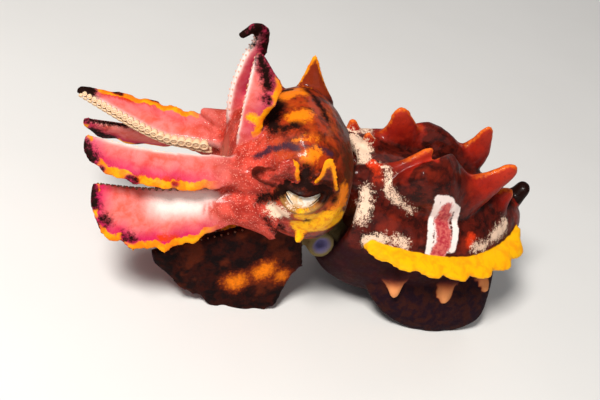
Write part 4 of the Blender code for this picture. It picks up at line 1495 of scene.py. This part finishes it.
@dataclass(frozen=True)
class Suckers:
    """The two rows of suckers along every arm, as small cups on stalks; sizes are shares of the first two."""

    radius: float = 0.86
    height: float = 1.35
    stalk_foot: float = 0.72
    stalk_head: float = 0.9
    stalk_top: float = 0.86
    rim_radius: float = 0.74
    rim_roll: float = 0.26
    rim_height: float = 0.79

    def tree(self, material: bpy.types.Material) -> bpy.types.NodeTree:
        """The nodes that set a cup on each seat.

        Args:
            material: What dresses the cups.

        Returns:
            The tree, with the cup's radius and height as named inputs.
        """
        tree = bpy.data.node_groups.new("sucker_rows", "GeometryNodeTree")
        face = tree.interface
        face.new_socket("Geometry", in_out="INPUT", socket_type="NodeSocketGeometry")
        for name in ("Cup radius", "Cup height"):
            face.new_socket(name, in_out="INPUT", socket_type="NodeSocketFloat")
        face.new_socket("Geometry", in_out="OUTPUT", socket_type="NodeSocketGeometry")
        add = partial(add_node, tree)
        seats = add("NodeGroupInput")
        radius, height = seats.outputs["Cup radius"], seats.outputs["Cup height"]

        def part(whole: bpy.types.NodeSocket, share: float) -> bpy.types.NodeSocket:
            """A share of a size."""
            return add("ShaderNodeMath", {"operation": "MULTIPLY"}, {0: whole, 1: share}).outputs[0]

        cone = {
            "Vertices": 10,
            "Radius Top": part(radius, self.stalk_head),
            "Radius Bottom": part(radius, self.stalk_foot),
            "Depth": part(height, self.stalk_top),
        }
        stalk = add("GeometryNodeMeshCone", {"fill_type": "NGON"}, cone)
        wheel = {"Resolution": 12, "Radius": part(radius, self.rim_radius)}
        ring = add("GeometryNodeCurvePrimitiveCircle", {}, wheel).outputs[0]
        roll = {"Resolution": 6, "Radius": part(radius, self.rim_roll)}
        profile = add("GeometryNodeCurvePrimitiveCircle", {}, roll).outputs[0]
        rim = add("GeometryNodeCurveToMesh", {}, {"Curve": ring, "Profile Curve": profile})
        lift = add("ShaderNodeCombineXYZ", {}, {"Z": part(height, self.rim_height)}).outputs[0]
        raised = add("GeometryNodeTransform", {}, {"Geometry": rim.outputs[0], "Translation": lift})
        cup = add("GeometryNodeJoinGeometry")
        tree.links.new(stalk.outputs["Mesh"], cup.inputs[0])
        tree.links.new(raised.outputs[0], cup.inputs[0])
        lean = add("GeometryNodeInputNamedAttribute", {"data_type": "FLOAT_VECTOR"}, {"Name": "lean"})
        size = add("GeometryNodeInputNamedAttribute", {"data_type": "FLOAT"}, {"Name": "size"})
        turn = add("FunctionNodeAlignRotationToVector", {"axis": "Z"}, {"Vector": lean.outputs[0]})
        seated = {
            "Points": seats.outputs["Geometry"],
            "Instance": cup.outputs[0],
            "Rotation": turn.outputs[0],
            "Scale": size.outputs[0],
        }
        rows = add("GeometryNodeInstanceOnPoints", {}, seated)
        real = add("GeometryNodeRealizeInstances", {}, {"Geometry": rows.outputs[0]})
        smooth = add("GeometryNodeSetShadeSmooth", {}, {"Geometry": real.outputs[0]})
        dressed = add("GeometryNodeSetMaterial", {}, {"Geometry": smooth.outputs[0], "Material": material})
        add("NodeGroupOutput", {}, {0: dressed.outputs[0]})
        return tree

    def build(self, finish: "SuckerFinish") -> bpy.types.Object:
        """All suckers as one mesh."""
        seats = [seat for arm in ARMS for seat in arm.sucker_seats()]
        mesh = bpy.data.meshes.new("suckers")
        mesh.from_pydata(((np.array([seat[0] for seat in seats]) + SHIFT) * MM).tolist(), [], [])
        leans = np.array([seat[1] for seat in seats], np.float32)
        mesh.attributes.new("lean", "FLOAT_VECTOR", "POINT").data.foreach_set("vector", leans.ravel())
        add_values(mesh, "size", np.array([seat[2] for seat in seats]))
        add_values(mesh, "tone", np.array([seat[3] for seat in seats]))
        obj = bpy.data.objects.new("suckers", mesh)
        bpy.context.scene.collection.objects.link(obj)
        tree = self.tree(finish.build())
        rows = obj.modifiers.new("rows", "NODES")
        rows.node_group = tree
        sizes = {"Cup radius": self.radius * MM, "Cup height": self.height * MM}
        for item in tree.interface.items_tree:
            if item.in_out == "INPUT" and item.name in sizes:
                rows[item.identifier] = sizes[item.name]
        applied(obj)
        LOG.info("suckers: %d cups, %d faces", len(seats), len(obj.data.polygons))
        return obj


@dataclass(frozen=True)
class Eye:
    """One eyeball, with the place of each point across its front for the pupil."""

    side: Side
    rings: int = 64
    points: int = 96

    def build(self, finish: "EyeFinish") -> bpy.types.Object:
        """The eyeball as a closed mesh."""
        centre, axis, along, above = Head().eye_frame(self.side)
        levels = np.pi * (np.arange(self.rings) + 0.5) / self.rings
        turn = circle(self.points)
        out = axis * np.cos(levels)[:, None, None]
        cast = np.cos(turn)[None, :, None] * along + np.sin(turn)[None, :, None] * above
        local = EYE_RADIUS * (out + np.sin(levels)[:, None, None] * cast)
        form = loft(Region.HEAD, HEAD.out(local + centre))
        obj = as_mesh("eyeball_" + self.side.word, form.points, form.faces)
        flat = local.reshape(-1, 3)
        add_values(obj.data, "u", flat @ along)
        add_values(obj.data, "v", flat @ above)
        smooth_shading(obj.data)
        obj.data.materials.append(finish.build())
        return obj


# finishes


class Value:
    """A number in a material, on which Python's operators add Math nodes."""

    def __init__(self, shade: "Shade", socket: Any) -> None:
        self.shade, self.socket = shade, socket

    def _math(self, operation: str, *terms: Any) -> "Value":
        """A Math node of these terms."""
        node = self.shade.add("ShaderNodeMath", {"operation": operation}, dict(enumerate(terms)))
        return Value(self.shade, node.outputs[0])

    def __add__(self, other: Any) -> "Value":
        """Sum."""
        return self._math("ADD", self, other)

    __radd__ = __add__

    def __sub__(self, other: Any) -> "Value":
        """Difference."""
        return self._math("SUBTRACT", self, other)

    def __rsub__(self, other: Any) -> "Value":
        """Difference with the other value first."""
        return self._math("SUBTRACT", other, self)

    def __mul__(self, other: Any) -> "Value":
        """Product."""
        return self._math("MULTIPLY", self, other)

    __rmul__ = __mul__

    def __truediv__(self, other: Any) -> "Value":
        """Quotient."""
        return self._math("DIVIDE", self, other)

    def __abs__(self) -> "Value":
        """Size without sign."""
        return self._math("ABSOLUTE", self)

    def least(self, other: Any) -> "Value":
        """The smaller of the two."""
        return self._math("MINIMUM", self, other)

    def most(self, other: Any) -> "Value":
        """The greater of the two."""
        return self._math("MAXIMUM", self, other)

    def rise(self, low: float, high: float) -> "Value":
        """A smooth step from 0 at low to 1 at high."""
        values = {"Value": self, "From Min": low, "From Max": high}
        node = self.shade.add("ShaderNodeMapRange", {"interpolation_type": "SMOOTHSTEP"}, values)
        return Value(self.shade, node.outputs["Result"])

    def fall(self, low: float, high: float) -> "Value":
        """A smooth step from 1 at low to 0 at high."""
        return 1 - self.rise(low, high)


class Shade:
    """The node tree of one material, filled node by node."""

    def __init__(self, name: str) -> None:
        self.material = bpy.data.materials.new(name)
        self.material.use_nodes = True
        self.tree = self.material.node_tree
        self.shader = self.tree.nodes["Principled BSDF"]
        coordinates = self.add("ShaderNodeTexCoord").outputs["Object"]
        scaled = self.add("ShaderNodeVectorMath", {"operation": "SCALE"}, {0: coordinates, "Scale": 1 / MM})
        self.where = scaled.outputs[0]

    def add(self, kind: str, settings: Any = None, values: Any = None) -> bpy.types.Node:
        """A node of this kind, with its settings and then the values or links of its inputs."""
        return add_node(self.tree, kind, settings, values)

    def attribute(self, name: str) -> Value:
        """A number that is kept at each point of the mesh."""
        return Value(self, self.add("ShaderNodeAttribute", {"attribute_name": name}).outputs["Fac"])

    def noise(self, per_mm: float, detail: float = 3.0, rough: float = 0.55, warp: float = 0.0) -> Value:
        """Soft noise round 0.5, with so many cells to a millimetre."""
        values = {"Vector": self.where, "Scale": per_mm, "Detail": detail}
        values |= {"Roughness": rough, "Distortion": warp}
        return Value(self, self.add("ShaderNodeTexNoise", {}, values).outputs["Fac"])

    def cells(self, per_mm: float) -> Value:
        """The distance to the middle of scattered cells."""
        values = {"Vector": self.where, "Scale": per_mm, "Randomness": 1.0}
        return Value(self, self.add("ShaderNodeTexVoronoi", {"feature": "F1"}, values).outputs["Distance"])

    def mixed(self, factor: Any, first: Any, second: Any) -> Any:
        """The second colour over the first, as far as the factor says."""
        ends = [(*value, 1.0) if isinstance(value, tuple) else value for value in (first, second)]
        values = {0: factor, 6: ends[0], 7: ends[1]}
        return self.add("ShaderNodeMix", {"data_type": "RGBA"}, values).outputs[2]

    def bump(self, height: Any, distance: float, strength: float, below: Any = None) -> Any:
        """A Bump node over an earlier one, with its height in millimetres."""
        values = {"Height": height, "Distance": distance * MM, "Strength": strength}
        if below is not None:
            values["Normal"] = below
        return self.add("ShaderNodeBump", {}, values).outputs["Normal"]

    def dress(self, **values: Any) -> bpy.types.Material:
        """Sets the shader's sockets and gives the material."""
        for key, value in values.items():
            socket = self.shader.inputs[key.replace("_", " ")]
            value = getattr(value, "socket", value)
            if isinstance(value, bpy.types.NodeSocket):
                self.tree.links.new(value, socket)
            else:
                socket.default_value = value
        return self.material


Colour = tuple[float, float, float]


class SkinShade(Shade):
    """The skin's node tree, with the noises and measures that every layer of its colour reads."""

    def __init__(self) -> None:
        super().__init__("skin")
        self.fine, self.small = self.noise(5.0), self.noise(1.3)
        self.broad, self.wide = self.noise(0.42, 4.0, 0.6, 0.4), self.noise(0.17, 3.0, 0.6)
        self.dots, self.grain = self.cells(2.4), self.cells(2.7)
        self.jag = (self.fine - 0.5) * 1.5 + (self.small - 0.5) * 2.6 + (self.broad - 0.5) * 1.6
        self.horn, self.pale, self.trunk = (self.attribute(name) for name in ("horn", "pale", "mantle"))
        self.rim, self.along = self.attribute("rim"), self.attribute("along")
        self.tip = self.horn.rise(0.10, 0.62) * self.trunk
        self.kind = self.pale / self.attribute("ear").most(0.2)
        self.narrow = self.kind.rise(2.6, 2.8) * self.kind.fall(3.2, 3.3)

    def over(self, below: Any, name: str, layer: Any, low: float = 0.3, high: float = 0.7) -> Any:
        """A layer where the flesh is of this kind, over the colour below."""
        return self.mixed(self.attribute(name).rise(low, high), below, layer)


@dataclass(frozen=True)
class SkinFinish:
    """Wet skin with its chromatophores, patches and coloured rims."""

    maroon: Colour = (0.085, 0.008, 0.004)
    black: Colour = (0.010, 0.002, 0.001)
    rust: Colour = (0.34, 0.030, 0.004)
    brown: Colour = (0.085, 0.010, 0.003)
    umber: Colour = (0.22, 0.024, 0.008)
    orange: Colour = (0.86, 0.20, 0.004)
    amber: Colour = (0.93, 0.32, 0.004)
    yellow: Colour = (0.95, 0.46, 0.002)
    cream: Colour = (0.82, 0.58, 0.42)
    white: Colour = (0.94, 0.78, 0.72)
    coral: Colour = (0.66, 0.080, 0.045)
    pink: Colour = (0.76, 0.20, 0.18)
    magenta: Colour = (0.56, 0.010, 0.085)
    red: Colour = (0.36, 0.012, 0.006)
    scarlet: Colour = (0.62, 0.035, 0.006)
    violet: Colour = (0.050, 0.014, 0.026)
    olive: Colour = (0.14, 0.10, 0.04)
    slate: Colour = (0.014, 0.004, 0.008)

    def body(self, s: SkinShade) -> Any:
        """The mantle, dark below."""
        colour = s.mixed(s.broad.rise(0.38, 0.64), self.maroon, (0.020, 0.003, 0.002))
        colour = s.mixed(s.wide.rise(0.50, 0.68) * 0.8, colour, (0.20, 0.016, 0.006))
        colour = s.mixed(s.dots.fall(0.10, 0.24) * s.small.rise(0.40, 0.60) * 0.6, colour, self.red)
        under = s.mixed(s.broad.rise(0.4, 0.65), self.slate, (0.030, 0.007, 0.006))
        return s.mixed(s.attribute("belly") * 0.85, colour, under)

    def face(self, s: SkinShade) -> Any:
        """The front of the head, speckled with pale grains."""
        front = s.mixed(s.broad.rise(0.36, 0.62), (0.62, 0.062, 0.038), (0.36, 0.026, 0.016))
        front = s.mixed(s.wide.rise(0.50, 0.64) * 0.55, front, (0.24, 0.014, 0.010))
        return s.mixed(s.grain.fall(0.12, 0.42) * s.small.rise(0.36, 0.58) * 0.8, front, (0.80, 0.29, 0.22))

    def head(self, s: SkinShade, colour: Any, front: Any) -> Any:
        """The crown, the front, painted shade over the rear and right side of the head, and the skin round
        the eyes.
        """
        crown = s.mixed(s.broad.rise(0.40, 0.60), self.rust, self.brown)
        crown = s.mixed(s.wide.rise(0.48, 0.66) * 0.7, crown, (0.52, 0.075, 0.006))
        head = s.mixed(s.attribute("blush"), crown, front)
        # painted shade: a darker brown laid over the rear and right side of the head
        rear = s.mixed(s.broad.rise(0.4, 0.6), self.brown, (0.06, 0.018, 0.006))
        head = s.mixed(s.attribute("nape").rise(0.1, 1.0) * 0.9, head, rear)
        flesh = s.attribute("head") + s.attribute("arm") + s.attribute("mouth")
        colour = s.mixed(flesh.rise(0.3, 0.7), colour, head)
        colour = s.mixed(s.attribute("over_lid") * (0.7 + s.broad * 0.5), colour, self.black)
        return s.mixed(s.attribute("under_lid") * 0.8, colour, (0.32, 0.17, 0.04))

    def ears(self, s: SkinShade, colour: Any, front: Any) -> Any:
        """The papillae of the brow, each kind in its own tones."""
        ear = s.mixed(s.broad.rise(0.40, 0.62), self.umber, (0.045, 0.007, 0.003))
        ear = s.mixed(s.kind.rise(3.3, 3.7), ear, s.mixed(s.broad.rise(0.40, 0.66) * 0.6, front, self.brown))
        ear = s.mixed(s.narrow * s.broad.rise(0.34, 0.58), ear, (0.22, 0.024, 0.005))
        return s.mixed(s.attribute("ear").rise(0.35, 0.75) * s.horn.rise(0.0, 0.22), colour, ear)

    def papillae(self, s: SkinShade, colour: Any) -> Any:
        """The papillae of the back, the dark one at the tail and the pale ones of the belly."""
        mottle = s.broad.rise(0.35, 0.65) * s.horn.fall(0.5, 0.9)
        flame = s.mixed(mottle, (0.38, 0.016, 0.006), (0.24, 0.009, 0.005))
        flame = s.mixed(s.horn.rise(0.55, 0.95) * 0.7, flame, (0.50, 0.038, 0.018))
        flame = s.mixed(s.small.rise(0.50, 0.70) * 0.5, flame, (0.22, 0.012, 0.008))
        colour = s.mixed(s.tip * (0.8 + s.small * 0.3), colour, flame)
        crest = (0.5 - s.rim + (s.small - 0.5) * 1.4).rise(-0.3, 0.5) * s.horn.rise(0.35, 0.7)
        colour = s.mixed(crest * s.trunk * s.pale.fall(0.4, 0.9) * 0.8, colour, (0.86, 0.17, 0.012))
        dark = s.pale.rise(1.9, 2.0) * s.pale.fall(2.3, 2.4) * s.trunk * s.horn.rise(0.1, 0.5)
        colour = s.mixed(dark, colour, self.black)
        buff = s.pale.rise(0.4, 0.9) * s.pale.fall(1.2, 1.5) * s.horn.rise(0.15, 0.7) * s.trunk
        return s.mixed(buff, colour, (0.74, 0.28, 0.10))

    def arms(self, s: SkinShade, colour: Any) -> Any:
        """The arms, magenta towards their keels and milky at their suckers, and the dark fourth pair."""
        arm = s.mixed(s.broad.rise(0.30, 0.74), self.pink, self.coral)
        arm = s.mixed(s.attribute("flush") * (0.85 + s.broad * 0.3), arm, self.magenta)
        arm = s.mixed(s.attribute("milk") * (0.9 + s.small * 0.2), arm, self.white)
        speck = s.grain.fall(0.10, 0.26) * s.small.rise(0.44, 0.60) * s.along.fall(0.15, 0.5)
        arm = s.mixed(speck * 0.6, arm, (0.86, 0.50, 0.42))
        colour = s.mixed(s.attribute("arm").rise(0.3, 0.7) * s.along.rise(0.12, 0.44), colour, arm)
        fourth = s.mixed(s.broad.rise(0.38, 0.62), (0.030, 0.004, 0.002), (0.006, 0.002, 0.002))
        fourth = s.mixed(s.wide.rise(0.50, 0.66) * 0.7, fourth, (0.11, 0.016, 0.004))
        fourth = s.mixed(s.rim.fall(0.25, 0.6) * 0.5, fourth, (0.12, 0.05, 0.09))
        return s.over(colour, "fourth", fourth)

    def underside(self, s: SkinShade, colour: Any) -> Any:
        """The walking flaps, the funnel and the mouth."""
        colour = s.over(colour, "flap", s.mixed(s.broad.rise(0.4, 0.6), self.slate, (0.034, 0.008, 0.006)))
        funnel = s.mixed(s.along.rise(0.86, 0.93), self.olive, (0.13, 0.11, 0.23))
        return s.over(s.over(colour, "funnel", funnel), "mouth", (0.42, 0.075, 0.050))

    def patches(self, s: SkinShade, colour: Any) -> Any:
        """The listed patches, with their ragged edges."""
        fourth = s.attribute("fourth")
        halo = (s.attribute("orange") + 1.3 + s.jag).rise(-1.2, 1.0) * fourth
        colour = s.mixed(halo * 0.8, colour, (0.26, 0.030, 0.004))
        golden = s.mixed(s.small.rise(0.40, 0.72), self.yellow, (0.78, 0.22, 0.004))
        rosy = s.mixed(s.small.rise(0.35, 0.65), (0.42, 0.030, 0.045), (0.62, 0.13, 0.11))
        for tint, tone, soft, torn, frayed in (
            (Tint.VIOLET, self.violet, 0.5, 0.6, 0.6),
            (Tint.RED, self.scarlet, 0.6, 0.6, 0.6),
            (Tint.ORANGE, self.orange, 0.9, 1.3, 0.5),
            (Tint.YELLOW, golden, 0.45, 0.6, 0.6),
            (Tint.CREAM, self.cream, 0.35, 1.5, 3.2),
            (Tint.WHITE, self.white, 0.18, 0.16, 0.3),
            (Tint.MAGENTA, rosy, 0.4, 0.5, 0.4),
            (Tint.DARK, self.black, 0.9, 1.1, 0.5),
        ):
            deep = s.attribute(tint.value) + (s.jag * torn + (s.fine - 0.5) * frayed)
            colour = s.mixed((deep / (1 + fourth * 0.7)).rise(-soft, soft), colour, tone)
        return colour

    def rims(self, s: SkinShade, colour: Any) -> Any:
        """The golden rims of the arms and of the brow, and the fins."""
        amber = s.mixed(s.broad.rise(0.42, 0.6), self.amber, self.orange)
        edge = (1.75 - s.rim + (s.small - 0.5) * 1.3 + (s.broad - 0.5) * 1.2).rise(-0.15, 0.25)
        edge = edge * s.attribute("arm").rise(0.3, 0.7) * s.along.rise(0.28, 0.42)
        colour = s.mixed(edge * s.attribute("dark").fall(-0.5, 0.2), colour, amber)
        edge = (1.25 - s.narrow * 0.6 - s.rim + (s.small - 0.5) * 0.7).rise(-0.25, 0.3)
        colour = s.mixed(edge * s.attribute("ear").rise(0.3, 0.7) * s.horn.rise(0.02, 0.2), colour, amber)
        fin = s.mixed(s.broad.rise(0.42, 0.66), self.yellow, (0.92, 0.34, 0.004))
        return s.over(colour, "fin", fin, 0.25, 0.6)

    def build(self) -> bpy.types.Material:
        """The material, layer over layer."""
        s = SkinShade()
        front = self.face(s)
        colour = self.ears(s, self.head(s, self.body(s), front), front)
        for layer in (self.papillae, self.arms, self.underside, self.patches, self.rims):
            colour = layer(s, colour)
        belly, dark = s.attribute("belly"), s.attribute("dark").rise(-0.5, 0.5)
        normal = s.bump(s.fine, 0.05, 0.5, s.bump(s.grain.fall(0.05, 0.45) * 0.5 + s.small * 0.7, 0.14, 0.5))
        wet = (1 - s.attribute("over_lid")) * (1 - s.attribute("under_lid")) * (1 - s.tip * 0.5)
        wet = wet * (1 - belly) * (1 - s.attribute("fourth")) * (1 - dark)
        return s.dress(
            Base_Color=colour,
            Roughness=s.small.rise(0.3, 0.7) * 0.18 + 0.3 + (dark + belly).least(1.0) * 0.3,
            Normal=normal,
            Coat_Weight=wet * 0.13,
            Coat_Roughness=0.07,
            Specular_IOR_Level=0.06,
        )


@dataclass(frozen=True)
class SuckerFinish:
    """Pale rubbery cups, browner where the tone says so."""

    cream: Colour = (0.80, 0.60, 0.34)
    brown: Colour = (0.14, 0.035, 0.008)

    def build(self) -> bpy.types.Material:
        """The material."""
        s = Shade("sucker")
        small = s.noise(1.6)
        base = s.mixed(small.rise(0.35, 0.65), self.cream, (0.84, 0.62, 0.40))
        tone = s.attribute("tone")
        base = s.mixed(tone.rise(0.0, 1.0) * 0.95, base, self.brown)
        base = s.mixed(tone.fall(-1.0, 0.0) * 0.8, base, (0.80, 0.34, 0.26))
        normal = s.bump(s.noise(6.0), 0.05, 0.4)
        return s.dress(Base_Color=base, Roughness=0.5, Normal=normal, Coat_Weight=0.08, Coat_Roughness=0.15)


@dataclass(frozen=True)
class EyeFinish:
    """A pearly eyeball with a dark pupil in the shape of a W."""

    pearl: Colour = (0.86, 0.78, 0.66)
    dark: Colour = (0.012, 0.008, 0.008)

    def build(self) -> bpy.types.Material:
        """The material."""
        s = Shade("eyeball")
        u, v = s.attribute("u"), s.attribute("v")
        ends = abs(u)
        level = bowed(u, v)
        lower = abs(level + 0.95 - (ends - 1.6) * 0.50) - 0.10 - ends.rise(1.8, 3.2) * 0.14
        upper = abs(level - 0.15 - (ends - 2.2) * 0.34) - 0.09
        pupil = lower.fall(-0.06, 0.06) * ends.rise(1.4, 1.8)
        pupil = pupil.most(upper.fall(-0.05, 0.06) * ends.rise(2.1, 2.5) * 0.8)
        base = s.mixed(s.noise(0.9).rise(0.4, 0.65), self.pearl, (0.66, 0.40, 0.18))
        base = s.mixed(s.noise(2.6).rise(0.5, 0.7) * 0.35, base, (0.36, 0.20, 0.09))
        base = s.mixed(u.rise(2.0, 3.8) * 0.75, base, (0.20, 0.22, 0.13))
        base = s.mixed(pupil, base, self.dark)
        return s.dress(Base_Color=base, Roughness=0.12, Coat_Weight=1.0, Coat_Roughness=0.03)


@dataclass(frozen=True)
class FloorFinish:
    """Plain pale matt floor."""

    tone: Colour = (0.78, 0.77, 0.75)

    def build(self) -> bpy.types.Material:
        """The material."""
        s = Shade("floor")
        base = s.mixed(s.noise(0.02).rise(0.3, 0.7) * 0.3, self.tone, (0.72, 0.71, 0.69))
        return s.dress(Base_Color=base, Roughness=0.8)


# studio


@dataclass(frozen=True)
class Studio:
    """The floor, the lights and the camera."""

    azimuth: float = -25.0
    elevation: float = 35.0
    roll: float = 20.0
    distance: float = 230.0
    target: Triple = (3.0, 0.0, 24.0)
    focal_pixels: float = 1069.5
    frame_pixels: float = 600.0
    sensor: float = 36.0
    floor_reach: float = 1500.0

    def axes(self) -> tuple[Array, Array, Array]:
        """The camera's right, up and back."""
        a, e, r = (math.radians(angle) for angle in (self.azimuth, self.elevation, self.roll))
        back = np.array((math.sin(a) * math.cos(e), -math.cos(a) * math.cos(e), math.sin(e)))
        level = np.array((math.cos(a), math.sin(a), 0.0))
        above = np.cross(back, level)
        return math.cos(r) * level + math.sin(r) * above, -math.sin(r) * level + math.cos(r) * above, back

    def camera(self) -> None:
        """The camera, at the photograph's angle."""
        right, up, back = self.axes()
        eye = (np.array(self.target) + back * self.distance + SHIFT) * MM
        data = bpy.data.cameras.new("camera")
        data.sensor_width = self.sensor
        data.lens = self.sensor * self.focal_pixels / self.frame_pixels
        data.clip_start = 0.005
        data.clip_end = 20.0
        obj = bpy.data.objects.new("camera", data)
        rows = [(*row, spot) for row, spot in zip(np.stack([right, up, back], -1), eye)]
        obj.matrix_world = Matrix(rows + [(0, 0, 0, 1)])
        bpy.context.scene.collection.objects.link(obj)
        bpy.context.scene.camera = obj

    def light(self, name: str, at: Triple, size: float, power: float, tone: Colour) -> None:
        """A soft square light that faces the animal."""
        data = bpy.data.lights.new(name, "AREA")
        data.size = size
        data.energy = power
        data.color = tone
        obj = bpy.data.objects.new(name, data)
        obj.location = at
        obj.rotation_mode = "QUATERNION"
        obj.rotation_quaternion = (Vector((0, 0, 0.025)) - Vector(at)).to_track_quat("-Z", "Y")
        bpy.context.scene.collection.objects.link(obj)

    def lights(self) -> None:
        """The key, the fill, the light from behind and the pale surroundings."""
        self.light("key", (-0.22, -0.20, 0.42), 0.12, 3.2, (1.0, 0.97, 0.93))
        self.light("fill", (0.15, -0.5, 0.22), 0.35, 0.35, (0.95, 0.97, 1.0))
        self.light("back", (0.30, 0.35, 0.35), 0.3, 0.35, (1.0, 0.98, 0.95))
        bpy.context.scene.view_settings.view_transform = "Standard"
        world = bpy.data.worlds.new("studio")
        world.use_nodes = True
        world.node_tree.nodes["Background"].inputs["Color"].default_value = (0.95, 0.96, 1.0, 1.0)
        world.node_tree.nodes["Background"].inputs["Strength"].default_value = 0.16
        bpy.context.scene.world = world

    def floor(self) -> None:
        """The floor, a wide plane under the animal."""
        corners = np.array([(x, y, 0.0) for x, y in ((-1, -1), (1, -1), (1, 1), (-1, 1))]) * self.floor_reach
        mesh = bpy.data.meshes.new("floor")
        mesh.from_pydata((corners * MM).tolist(), [], [(0, 1, 2, 3)])
        obj = bpy.data.objects.new("floor", mesh)
        bpy.context.scene.collection.objects.link(obj)
        mesh.materials.append(FloorFinish().build())


ARM_NODES = [arm.name + end for arm in ARMS for end in ("_root", "_tip")]
FLESH_NODES = ["mantle", "head", "mouth", "funnel", *ARM_NODES]
FLESH_NODES += [name + side.word for name in ("fin_", "walking_flap_") for side in Side]


def kept(piece: bpy.types.Object, nodes: Sequence[str]) -> None:
    """Ties a finished piece to the frame and reports it."""
    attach(piece, "root")
    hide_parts(*nodes)
    LOG.info("%s replaces %d nodes", piece.name, len(nodes))


def main() -> None:
    """Builds the animal and its studio."""
    logging.basicConfig(level=logging.INFO, format="%(name)s: %(message)s", stream=sys.stdout)
    studio = Studio()
    studio.camera()
    studio.lights()
    studio.floor()
    kept(Skin().build(SkinFinish()), FLESH_NODES)
    kept(Suckers().build(SuckerFinish()), ARM_NODES)
    for side in Side:
        kept(Eye(side).build(EyeFinish()), ["eye_" + side.word])
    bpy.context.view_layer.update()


if __name__ == "__main__":
    main()
